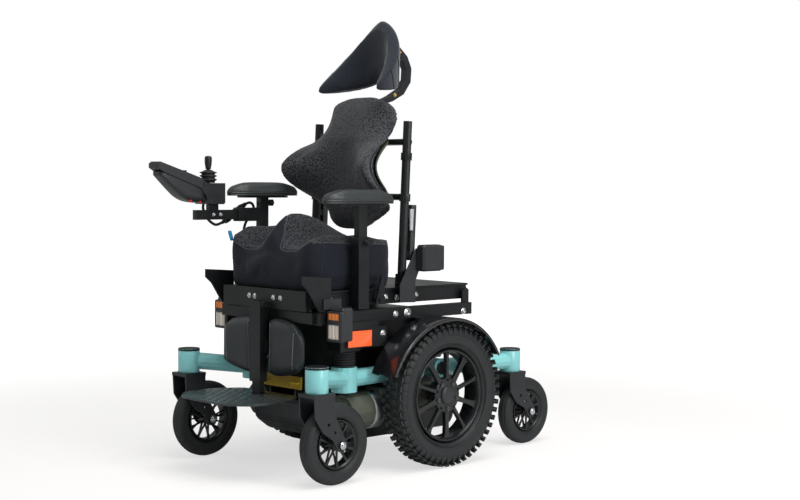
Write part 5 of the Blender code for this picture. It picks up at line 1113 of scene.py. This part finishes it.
def back_cushion():
    """The curled cushion, its edge cords, the two smooth side panels and their seams."""
    def shape(u, v, w):
        u, w = rounded_square(u, w, 6.0)
        bulge = 1 - 0.020 * v * v
        x, y, z = back_point(u * bulge, min(max((w * bulge + 1) / 2, 0.0), 1.0))
        puff = 0.0018 * hill(u, 0.62, 0.22) + 0.0018 * hill(u, -0.62, 0.22)
        thickness = BACK_THICKNESS - crown(u, w, 0.022, 0.55) + puff
        return x, y - thickness * (1 - v) / 2, z

    bm = bmesh.new()
    cushion_grid(bm, 64, 64, 8, shape)
    made = piece("back_cushion_cover", bm, black_mesh, "back")
    inflated(made)
    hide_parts("back_cushion")
    onto = nearest_on(made)
    for side_name, side in SIDES:
        bm, rows = bmesh.new(), []
        for i in range(15):
            row = []
            for j in range(25):
                level = 0.13 + 0.50 * j / 24
                narrow = math.sqrt(max(0.0, 1 - (2 * j / 24 - 1) ** 4))
                u = PANEL_PLACE + (i / 14 - 0.5) * 2 * PANEL_HALF * narrow
                row.append(bm.verts.new(onto(Vector(back_point(side * u, level)), 0.0016)))
            rows.append(row)
        sheet(bm, rows)
        panel = piece(f"back_side_panel_{side_name}", bm, navy_cloth, "back")
        modify(panel, "SOLIDIFY", thickness=0.0030, offset=0.0)
        seams = [[back_point(side * (PANEL_PLACE + way * PANEL_HALF * share), level)
                  for share, level in PANEL_EDGE] for way in (1, -1)]
        seams.append([back_point(side * 0.83, level) for level in PANEL_RIB])
        piping(f"back_panel_cord_{side_name}", made, seams, 0.0013, "back", navy_cloth, lift=0.0030, count=60)
    border = [(-u, level) for u, level in BORDER_HALF] + list(BORDER_HALF[::-1])
    piping("back_border_cord", made, [[back_point(u, level) for u, level in border]], 0.0012, "back")


def back_shell():
    """The thin shell behind the cushion."""
    bm, rows = bmesh.new(), []
    for i in range(41):
        row = []
        for j in range(33):
            u, w = rounded_square(-1 + 2 * i / 40, -1 + 2 * j / 32, 5.0)
            x, y, z = back_point(u * 0.90, 0.46 + w * 0.27)
            row.append(bm.verts.new((x, y + 0.0030 + 0.020 * abs(u) ** 5, z)))
        rows.append(row)
    sheet(bm, rows)
    made = piece("back_shell_moulded", bm, olive_coat, "back")
    modify(made, "SOLIDIFY", thickness=0.0036, offset=0.0)
    softened(made, 0.0008)
    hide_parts("back_shell")


back_cushion()
back_shell()
x, y, z = back_point(-0.97, 0.76)
folded_tab("back_cushion_tab", "back", (x, y - 0.010, z - 0.004), (-0.012, 0, 0.011), (0.009, 0, 0.009))

# %% [markdown]
# The headrest is one padded wing, high in the middle and low beside the cheeks, covered in
# smooth neoprene with two sewn ridges down each end. A lug on its rear takes the bracket's pin.

# %% Headrest
HEAD_REACH, HEAD_ARC, HEAD_THICKNESS = 0.110, math.radians(75), 0.029
HEAD_BACK, HEAD_SWEEP, HEAD_POWER = 0.022, 0.119, 2.4
HEAD_TOP, HEAD_BOTTOM, HEAD_FALL, HEAD_DROP = 1.102, 0.944, 0.160, 0.040
LUG_PIN = (0.0, 0.076, 1.026)


def headrest_point(u, w):
    """A point on the pad's middle surface, and the direction through the pad there."""
    x = HEAD_REACH * math.sin(u * HEAD_ARC)
    y = HEAD_BACK - HEAD_SWEEP * abs(u) ** HEAD_POWER
    top, bottom = HEAD_TOP - HEAD_FALL * abs(u) ** 1.5, HEAD_BOTTOM - HEAD_DROP * abs(u)
    z = (top + bottom) / 2 + w * (top - bottom) / 2
    along = Vector((HEAD_REACH * HEAD_ARC * math.cos(u * HEAD_ARC),
                    -HEAD_SWEEP * HEAD_POWER * abs(u) ** (HEAD_POWER - 1) * (1 if u > 0 else -1), 0))
    away = Vector((-along.y, along.x, 0)).normalized()
    return Vector((x, y + CHAIR_SHIFT, z)), away


def headrest():
    """The padded wing, its ridges and its lug."""
    def shape(u, v, w):
        u, w = rounded_square(u, w, 3.4)
        bulge = 1 - 0.030 * v * v
        spot, away = headrest_point(u * bulge, w * bulge)
        thickness = HEAD_THICKNESS - crown(u, w, 0.015, 0.45)
        return spot + away * thickness * v / 2

    bm = bmesh.new()
    cushion_grid(bm, 64, 40, 8, shape)
    made = piece("headrest_cover", bm, navy_cloth, "headrest_pad")
    inflated(made, voxel=0.004)
    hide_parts("headrest_pad")
    ridges = []
    for _, side in SIDES:
        for u in (0.62, 0.80):
            line = []
            for w in (0.80, 0.5, 0.1, -0.3, -0.62, -0.84):
                spot, away = headrest_point(side * (u + 0.05 * w), w)
                line.append(spot + away * 0.016)
            ridges.append(line)
    piping("headrest_ridges", made, ridges, 0.0019, "headrest_pad", navy_cloth, count=60)
    bm = bmesh.new()
    blocky(bm, (-0.0055, 0.0335 + CHAIR_SHIFT, 1.016), (0.0055, 0.074 + CHAIR_SHIFT, 1.036))
    lug = piece("headrest_lug", bm, black_plastic, "headrest_pad", smooth=False)
    softened(lug, 0.0015)
    bm = bmesh.new()
    eye = Vector(LUG_PIN) + Vector((0, CHAIR_SHIFT, 0))
    lathe(bm, [(0.0042, -0.0056), (0.0115, -0.0056), (0.0115, 0.0056), (0.0042, 0.0056)], eye, steps=32)
    softened(piece("headrest_lug_eye", bm, black_plastic, "headrest_pad"), 0.0008)


headrest()

# %% [markdown]
# An arm pad is foam under stretched vinyl on a board, with a double bead round its lower edge.
# A calf pad is a flat cushion with a crowned face and light thread along its two ends.

# %% Arm pads and calf pads
PAD_BOTTOM = {"left": 0.640, "right": 0.655}
PAD_ACROSS, PAD_MIDDLE, PAD_HALF_WIDTH, PAD_HALF_LENGTH = 0.181, -0.219, 0.026, 0.109
PAD_DOME, PAD_LIP = 0.034, 0.0045
PAD_CORNER, BOARD_INSET, BOARD_TALL = 3.2, 0.0015, 0.0060
BEAD_INSET, BEADS = 0.0022, ((0.0022, 0.0022), (0.0070, 0.0026))
CALF_BACK, CALF_THICKNESS, CALF_TOP, CALF_BOTTOM = -0.354, 0.0200, 0.370, 0.230
CALF_INNER, CALF_WIDTH, CALF_TAPER = 0.027, 0.122, 0.022


def arm_pad(side_name, side):
    """One arm pad: a dome above two beads."""
    bottom = PAD_BOTTOM[side_name]

    def outline(u, w, inset=0.0):
        round_end = 1 - 0.25 * max(0.0, abs(w) - 0.6) / 0.4
        return (side * PAD_ACROSS + u * (PAD_HALF_WIDTH - inset) * round_end,
                PAD_MIDDLE + w * (PAD_HALF_LENGTH - inset) + CHAIR_SHIFT)

    def shape(u, v, w):
        u, w = rounded_square(u, w, PAD_CORNER)
        x, y = outline(u, w, BEAD_INSET * v * v)
        dome = PAD_DOME - crown(u, w, 0.020, 0.22) - 0.006 * max(0.0, abs(w) - 0.5) / 0.5
        return x, y, bottom + PAD_LIP + (dome - PAD_LIP) * (v + 1) / 2

    bm = bmesh.new()
    cushion_grid(bm, 28, 72, 6, shape)
    made = piece(f"arm_pad_cover_{side_name}", bm, arm_vinyl, f"armrest_{side_name}")
    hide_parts(f"armrest_pad_{side_name}")
    rim = [rounded_square(u, w, PAD_CORNER) for u, w in
           [(-1 + 2 * i / 12, -1) for i in range(12)] + [(1, -1 + 2 * i / 36) for i in range(36)]
           + [(1 - 2 * i / 12, 1) for i in range(12)] + [(-1, 1 - 2 * i / 36) for i in range(36)]]
    bm = bmesh.new()
    for z, radius in BEADS:
        tube(bm, [Vector((*outline(u, w, BEAD_INSET), bottom + z)) for u, w in rim], radius, 8, closed=True)
    bead = piece(f"arm_pad_bead_{side_name}", bm, arm_vinyl, f"armrest_{side_name}")
    bm = bmesh.new()
    joined(bm, [[bm.verts.new((*outline(u, w, BOARD_INSET), z)) for u, w in rim]
                for z in (bottom, bottom + BOARD_TALL)], caps=True)
    board = piece(f"arm_pad_board_{side_name}", bm, black_plastic, f"armrest_{side_name}", smooth=False)


def calf_pad(side_name, side):
    """One calf pad with its stitching."""
    def spot(u, w, depth):
        share = (u + 1) / 2
        top = CALF_TOP - CALF_TAPER * share ** 2 - 0.010 * max(0.0, share - 0.7) / 0.3
        bottom = CALF_BOTTOM + CALF_TAPER * share ** 2
        return Vector((side * (CALF_INNER + CALF_WIDTH * share), CALF_BACK + CHAIR_SHIFT - depth,
                       (top + bottom) / 2 + w * (top - bottom) / 2))

    def shape(u, v, w):
        u, w = rounded_square(u, w, 5.0)
        bulge = 1 - 0.020 * v * v
        thickness = CALF_THICKNESS - crown(u, w, 0.012, 0.55)
        return spot(u * bulge, w * bulge, thickness * (1 - v) / 2)

    bm = bmesh.new()
    cushion_grid(bm, 40, 44, 6, shape)
    made = piece(f"calf_pad_cover_{side_name}", bm, calf_vinyl, "leg_upper")
    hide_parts(f"calf_pad_{side_name}")
    onto, bm = nearest_on(made), bmesh.new()
    for u in (-0.80, 0.66):
        line = [onto(spot(u + 0.05 * w, w, 0.024), 0.0002) for w in np.linspace(-0.86, 0.86, 47)]
        for k in range(0, 46, 2):
            middle = (line[k] + line[k + 1]) / 2 + Vector((0, -0.0004, 0))
            tube(bm, [line[k], middle, line[k + 1]], 0.00060, 6)
    piece(f"calf_pad_stitches_{side_name}", bm, thread, "leg_upper")


for side_name, side in SIDES:
    arm_pad(side_name, side)
    calf_pad(side_name, side)

# %% [markdown]
# ## Joystick and its cable
# The stick is a turned knob on a rod. A bellows of soft rubber seals its root. The cable hangs
# in a loop under the bracket to a plug on the tube, and a second length goes from the plug's
# rear down into the seat frame, where a gland holds it.

# %% Joystick
STICK = (-0.200, -0.375 + CHAIR_SHIFT)
KNOB = ((0.0001, 0.7530), (0.0035, 0.7529), (0.0068, 0.7520), (0.0086, 0.7500), (0.0090, 0.7465),
        (0.0090, 0.7390), (0.0086, 0.7340), (0.0079, 0.7290), (0.0070, 0.7240), (0.0066, 0.7205),
        (0.0040, 0.7200), (0.0040, 0.6765), (0.0001, 0.6765))
BOOT = ((0.0067, 0.7190), (0.0100, 0.7175), (0.0150, 0.7145), (0.0210, 0.7130), (0.0221, 0.7122),
        (0.0210, 0.7112), (0.0165, 0.7090), (0.0160, 0.7070), (0.0208, 0.7044), (0.0220, 0.7035),
        (0.0208, 0.7025), (0.0165, 0.7003), (0.0162, 0.6982), (0.0208, 0.6955), (0.0220, 0.6945),
        (0.0206, 0.6932), (0.0168, 0.6910), (0.0165, 0.6865), (0.0150, 0.6865), (0.0150, 0.7100),
        (0.0070, 0.7160))
BUTTON = ((0.0001, 0.0022), (0.0052, 0.0022), (0.0062, 0.0012), (0.0062, -0.002), (0.0001, -0.002))
BUTTON_PLACES = ((-0.0145, -0.457, 0.7146), (0.0145, -0.457, 0.7146))
RED_LAMP = ((0.0001, 0.0014), (0.0022, 0.0010), (0.0030, -0.0005), (0.0030, -0.004), (0.0001, -0.004))
RED_LAMP_PLACES = ((0.0265, -0.446, 0.6425), (0.0265, -0.418, 0.6400))


def turned(name, profile, centre, material, body, axis="Z", steps=48):
    """A turned piece."""
    bm = bmesh.new()
    lathe(bm, profile, centre, axis, steps)
    return piece(name, bm, material, body)


def joystick():
    """The knob, the bellows, and the pod's buttons and lamps."""
    stick = turned("stick_knob", KNOB, (*STICK, 0.0), black_plastic, "stick")
    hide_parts("joystick_stick")
    bellows = turned("joystick_bellows", BOOT, (*STICK, 0.0), boot_rubber, "joystick")
    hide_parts("joystick_boot")
    for k, (across, y, z) in enumerate(BUTTON_PLACES):
        turned(f"pod_button_{k + 1}", BUTTON, (STICK[0] + across, y + CHAIR_SHIFT, z),
               boot_rubber, "joystick", steps=28)
    for k, (across, y, z) in enumerate(RED_LAMP_PLACES):
        turned(f"pod_red_lamp_{k + 1}", RED_LAMP, (STICK[0] + across, y + CHAIR_SHIFT, z),
               red_glow, "joystick", "X", 20)


BELLY_LOW = ((-0.528, 0.704), (-0.505, 0.683), (-0.486, 0.6664), (-0.466, 0.651), (-0.448, 0.6425),
             (-0.428, 0.6385), (-0.400, 0.6365))
BELLY_HIGH = ((-0.528, 0.7130), (-0.480, 0.7000), (-0.430, 0.6840), (-0.400, 0.6640))
BELLY_MIDDLE, BELLY_HALF_LENGTH, BELLY_HALF_WIDTH = -0.464, 0.064, 0.0290


def pod_belly():
    """The grey lower cover of the pod, which swells below its narrow part."""
    def shape(u, v, w):
        u, w = rounded_square(u, w, 8.0)
        y = BELLY_MIDDLE + w * BELLY_HALF_LENGTH
        along = max(0.0, (-0.412 - y) / 0.1245)
        half = BELLY_HALF_WIDTH * (1 - 0.35 * along)
        low = curve(y, BELLY_LOW) + 0.0060 * abs(u) ** 5
        z = low + (curve(y, BELLY_HIGH) - low) * (v + 1) / 2
        return STICK[0] + u * half, y + CHAIR_SHIFT, z

    bm = bmesh.new()
    cushion_grid(bm, 20, 36, 4, shape)
    made = piece("pod_lower_cover", bm, fork_grey, "joystick")


CABLE_WIDTH = 0.0068
LEAD = ((-0.205, -0.386, 0.6340), (-0.205, -0.386, 0.621), (-0.208, -0.370, 0.597),
        (-0.209, -0.348, 0.583), (-0.209, -0.330, 0.586), (-0.209, -0.318, 0.592))
CONDUIT = ((-0.209, -0.252, 0.634), (-0.209, -0.238, 0.637), (-0.209, -0.228, 0.630), (-0.209, -0.227, 0.614),
           (-0.209, -0.243, 0.599), (-0.207, -0.258, 0.573), (-0.204, -0.262, 0.530), (-0.200, -0.262, 0.470))
PLUG = ((-0.010, 0.0040), (-0.002, 0.0050), (0.000, 0.0085), (0.014, 0.0100), (0.016, 0.0088),
        (0.020, 0.0088), (0.022, 0.0100), (0.046, 0.0100), (0.048, 0.0085), (0.062, 0.0085),
        (0.066, 0.0070), (0.078, 0.0046))
GLAND = ((0.0034, 0.014), (0.0050, 0.014), (0.0085, 0.006), (0.0085, 0.0), (0.0105, 0.0), (0.0105, -0.006),
         (0.0034, -0.006))


def cables():
    """The joystick's cable, the plug and the conduit."""
    shift = Vector((0, CHAIR_SHIFT, 0))
    made = []
    for name, knots in (("joystick_lead", LEAD), ("joystick_conduit", CONDUIT)):
        line = smooth_line([Vector(knot) + shift for knot in knots], 90)
        bm = bmesh.new()
        tube(bm, line, CABLE_WIDTH / 2, 16)
        cord = piece(name, bm, boot_rubber, "joystick")
        length = sum((b - a).length for a, b in zip(line, line[1:]))
        made.append((cord, line, length))
        print(name, "is", round(length, 4), "m long")
    start, end = Vector(LEAD[-1]) + shift, Vector(CONDUIT[0]) + shift
    along = (end - start).normalized()
    bm = bmesh.new()
    tube(bm, [start + along * place for place, _ in PLUG], 1.0, 24, widths=[radius for _, radius in PLUG])
    plug = piece("joystick_plug", bm, black_plastic, "joystick")
    softened(plug, 0.0006)
    lead, conduit = made
    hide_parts("joystick_cable")
    turned("conduit_gland", GLAND, conduit[1][-1], black_plastic, "joystick", steps=24)


joystick()
pod_belly()
cables()

# %% [markdown]
# ## Lamps
# Each lamp has a clear lens in two colours over its black housing, with fine ribs moulded into
# it. The side reflectors are flat orange plates with a prism pattern.

# %% Lenses and reflectors
# Ranges along X and Y, the way that the lens faces and its ribs. A lamp adds its range along Z.
FRONT, REAR = ((0.1928, 0.2390), (-0.3262, -0.3220), -1, 9), ((0.1870, 0.2110), (0.0370, 0.0412), 1, 5)
LAMPS = (("front_lamp_amber", *FRONT, (0.3705, 0.3915), front_lens, "amber_lens"),
         ("front_lamp_white", *FRONT, (0.3235, 0.3675), front_lens, "amber_lens"),
         ("rear_lamp_red", *REAR, (0.478, 0.515), rear_lens, "red_lens"),
         ("rear_lamp_amber", *REAR, (0.518, 0.535), front_lens, "amber_lens"))
REFLECTOR = ((0.2003, 0.2033), (-0.2675, -0.1930), (0.304, 0.342))
LENS_PILLOW, LENS_RIB = 0.0030, 0.0005


def ribbed_lens(name, low, high, facing, ribs, material, body, slot):
    """A pillow-shaped lens whose front has upright ribs. It faces -1 (ahead) or 1 (behind)."""
    front, back = (low.y, high.y) if facing < 0 else (high.y, low.y)
    middle, half = (low + high) / 2, (high - low) / 2

    def shape(u, v, w):
        u, w = rounded_square(u, w, 7.0)
        rib = LENS_RIB * math.cos(u * math.pi * ribs) * max(0.0, 1 - abs(w) ** 6)
        y = front + facing * (rib - LENS_RIB - crown(u, w, LENS_PILLOW, 0.5)) if v > 0 else back
        return middle.x + u * half.x, y, middle.z + w * half.z

    bm = bmesh.new()
    cushion_grid(bm, 56, 12, 1, shape)
    made = piece(name, bm, material, body)


def side_box(side, across, along, height):
    """The corners of a box on one side of the chair, from its ranges along X, Y and Z."""
    low_x, high_x = sorted(side * x for x in across)
    return (Vector((low_x, along[0] + CHAIR_SHIFT, height[0])),
            Vector((high_x, along[1] + CHAIR_SHIFT, height[1])))


def lamps():
    """Two lenses in front, two behind, a reflector on each side."""
    for side_name, side in SIDES:
        for name, across, along, facing, ribs, height, material, slot in LAMPS:
            low, high = side_box(side, across, along, height)
            ribbed_lens(f"{name}_{side_name}", low, high, facing, ribs, material, "seat", slot)
        bm = bmesh.new()
        blocky(bm, *side_box(side, *REFLECTOR))
        plate = piece(f"side_reflector_{side_name}", bm, side_reflector, "base", smooth=False)
        softened(plate, 0.0014, segments=3)


lamps()

# %% [markdown]
# ## Fasteners
# Bright zinc bolts stand on the frame plates, and their hexagon sockets are open. They are
# turned with a washer, a domed head and a six-sided hole, then placed where the frame has them.

# %% Bolts
BOLT_SIDES, SOCKET_SIDES = 24, 6


def bolt(bm, centre, outward, radius=0.0055, height=0.0040):
    """A domed socket bolt on a washer, standing on a surface and pointing outward."""
    turn = Vector((0, 0, 1)).rotation_difference(Vector(outward)).to_matrix().to_4x4()
    spot = Matrix.Translation(Vector(centre)) @ turn
    rows = ((radius * 1.45, 0.0), (radius * 1.45, 0.0010), (radius, 0.0012), (radius, height * 0.55),
            (radius * 0.86, height * 0.88), (radius * 0.62, height), (radius * 0.50, height),
            (radius * 0.46, height * 0.35))
    facet = math.pi / SOCKET_SIDES
    rings = []
    for reach, along in rows:
        ring = []
        for k in range(BOLT_SIDES):
            angle = math.tau * k / BOLT_SIDES
            size = reach
            if reach < radius * 0.55:
                size = reach * math.cos(facet) / math.cos((angle + facet) % (2 * facet) - facet)
            ring.append(bm.verts.new(spot @ Vector((size * math.cos(angle), size * math.sin(angle), along))))
        rings.append(ring)
    joined(bm, rings, caps=True)


def bolts(name, body, nodes, places, material=zinc, beside=0.0):
    """Bolts on the surfaces of CAD nodes: each place is (x, y, z, outward, radius).

    Over a hole, the surface is found that much above it."""
    targets = [NODES[node] for node in nodes]
    bm, count = bmesh.new(), 0
    for x, y, z, outward, radius in places:
        spot = surface_at(targets, (x, y + CHAIR_SHIFT, z + beside), outward)
        if spot is None:
            print(name, "has no surface at", (x, y, z))
            continue
        spot.z -= beside
        bolt(bm, spot - Vector(outward) * 0.0003, outward, radius)
        count += 1
    print(name, count, "bolts")
    made = piece(name, bm, material, body)
    modify(made, "BEVEL", width=0.0003, segments=1, limit_method="ANGLE", angle_limit=math.radians(40))


# Places on the left side, mirrored to the right: x, y, z and the head's radius.
RAIL_BOLTS = ((0.187, 0.135, 0.3675, 0.0060), (0.187, -0.101, 0.3725, 0.0060),
              (0.187, -0.061, 0.3735, 0.0085), (0.195, -0.150, 0.330, 0.0060))
SEAT_RAIL_BOLTS = ((0.163, -0.290, 0.416, 0.0055), (0.163, -0.112, 0.413, 0.0055),
                   (0.163, -0.010, 0.414, 0.0055), (0.192, -0.322, 0.409, 0.0055),
                   (0.186, -0.040, 0.427, 0.0055), (0.186, -0.075, 0.410, 0.0055))
CASTER_AXLES = {"front": (0.2455, -0.349, 0.0947), "rear": (0.1695, 0.386, 0.088)}
AXLE_HALF, AXLE_HEAD = 0.0335, 0.0062


def all_bolts():
    """Every visible bolt, grouped by the body that it moves with."""
    left, ahead = (1, 0, 0), (0, -1, 0)
    rails, seat_rails = ([(side * x, y, z, (side, 0, 0), radius) for _, side in SIDES
                          for x, y, z, radius in table] for table in (RAIL_BOLTS, SEAT_RAIL_BOLTS))
    for end, (reach, y, z) in CASTER_AXLES.items():
        for side_name, side in SIDES:
            fork = f"caster_fork_{end}_{side_name}"
            bolts(f"axle_bolts_{end}_{side_name}", fork, (fork,),
                  [(side * reach + way * AXLE_HALF, y, z, (way, 0, 0), AXLE_HEAD) for way in (-1, 1)])
    bolts("frame_bolts", "base", ("base_frame",), rails)
    bolts("seat_rail_bolts", "seat", ("seat_frame",), seat_rails)
    bolts("front_plate_bolts", "seat", ("seat_frame",),
          [(x, -0.360, 0.4165, ahead, 0.0045) for x in (-0.054, -0.033, 0.038, 0.064)])
    bolts("joystick_tube_bolts", "joystick", ("joystick_mount",),
          [(-0.1930, y, 0.608, left, 0.0034) for y in (-0.373, -0.352)], beside=0.0065)
    bolts("bracket_brass_bolts", "headrest_bracket", ("headrest_bracket",),
          [(0.012, y, z, left, 0.0036) for y, z in ((0.0735, 1.0240), (0.0583, 0.9145))], brass)


all_bolts()

# %% [markdown]
# Small things complete it: the clamp knob behind the right arm pad's post, a pale blank plate
# on the back's left strut, and the cast band round each motor where its gearbox is bolted on.

# %% Knob, plate and motor bands
MOTOR_ACROSS, MOTOR_HEIGHT, MOTOR_RADIUS, BAND_PLACE = 0.1580, 0.1450, 0.0430, -0.1303
BAND_SECTION = ((-0.0020, -0.0150), (0.0016, -0.0150), (0.0026, -0.0135), (0.0026, 0.0150), (0.0016, 0.0165),
                (-0.0020, 0.0165))
CLAMP_KNOB = ((0.0001, 0.022), (0.0060, 0.0215), (0.0085, 0.0195), (0.0085, 0.012), (0.0070, 0.010),
              (0.0045, 0.009), (0.0045, 0.0), (0.0001, 0.0))
KNOB_LOBES, KNOB_WAVE, KNOB_STEPS = 6, 0.07, 40
PLATE_Z, PLATE_HALF = (0.574, 0.626), 0.0070


def small_things():
    """The clamp knob, the blank plate and the motors' bands."""
    spot = surface_at([NODES["armrest_post_right"]], (-0.187, -0.189 + CHAIR_SHIFT, 0.6370), (0, 1, 0))
    if spot:
        bm, rings = bmesh.new(), []
        for k in range(KNOB_STEPS):
            turn = math.tau * k / KNOB_STEPS
            wave = 1 + KNOB_WAVE * math.cos(KNOB_LOBES * turn)
            rings.append([bm.verts.new(spot + Vector((radius * wave * math.cos(turn), along - 0.0005,
                                                      radius * wave * math.sin(turn))))
                          for radius, along in CLAMP_KNOB])
        sheet(bm, rings + rings[:1])
        made = piece("arm_pad_clamp_knob", bm, black_plastic, "armrest_right")
    spot = surface_at([NODES["back_frame"]], (0.176, -0.0350 + CHAIR_SHIFT, 0.5995), (1, 0, 0))
    if spot:
        bm = bmesh.new()
        blocky(bm, (spot.x - 0.0030, spot.y - PLATE_HALF, PLATE_Z[0]),
               (spot.x + 0.0012, spot.y + PLATE_HALF, PLATE_Z[1]))
        made = piece("strut_blank_plate", bm, pale_plate, "back", smooth=False)
        softened(made, 0.0006)
    for side_name, side in SIDES:
        place = Matrix.Translation((side * MOTOR_ACROSS, BAND_PLACE, MOTOR_HEIGHT))
        bm = bmesh.new()
        lathe(bm, [(MOTOR_RADIUS + out, along) for out, along in BAND_SECTION], (0, 0, 0), "Z", 56)
        bmesh.ops.transform(bm, matrix=place @ Matrix.Rotation(math.pi / 2, 4, "X"), verts=bm.verts)
        made = piece(f"motor_band_{side_name}", bm, cast_alloy, "base")


small_things()

# %% [markdown]
# The footplate has rows of raised ovals that grip a shoe. They are moulded with the plate, and
# here they are low domes set on its top wherever there is plate under them.

# %% Grip on the footplate
ROW_STEP, COLUMN_STEP, COLUMNS = 0.016, 0.024, range(-7, 8)
OVAL_HALF_WIDTH, OVAL_HALF_LENGTH, OVAL_SIDES = 0.0072, 0.0030, 16
OVAL_ROWS = ((1.0, -0.0003), (0.85, 0.0006), (0.5, 0.0011))
OVAL_TESTS = ((0, 0), (0.010, 0), (-0.010, 0), (0, 0.006), (0, -0.006))


def grip():
    """Rows of low oval domes, every second row shifted by half a step."""
    low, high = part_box("footplate")
    plate, bm, count = [NODES["footplate"]], bmesh.new(), 0
    turns = [math.tau * k / OVAL_SIDES for k in range(OVAL_SIDES)]
    for row in range(int((high.y - low.y - 0.03) / ROW_STEP)):
        y = low.y + 0.020 + row * ROW_STEP
        for column in COLUMNS:
            x = (column + 0.5 * (row % 2)) * COLUMN_STEP
            spots = [surface_at(plate, (x + dx, y + dy, high.z), (0, 0, 1), 0.03) for dx, dy in OVAL_TESTS]
            if None in spots or max(spot.z for spot in spots) - min(spot.z for spot in spots) > 0.0015:
                continue
            joined(bm, [[bm.verts.new(spots[0] + Vector((OVAL_HALF_WIDTH * reach * math.cos(turn),
                                                         OVAL_HALF_LENGTH * reach * math.sin(turn), tall)))
                         for turn in turns] for reach, tall in OVAL_ROWS], caps=True)
            count += 1
    print(count, "ovals")
    made = piece("footplate_ovals", bm, foot_plastic, "footplate")


grip()
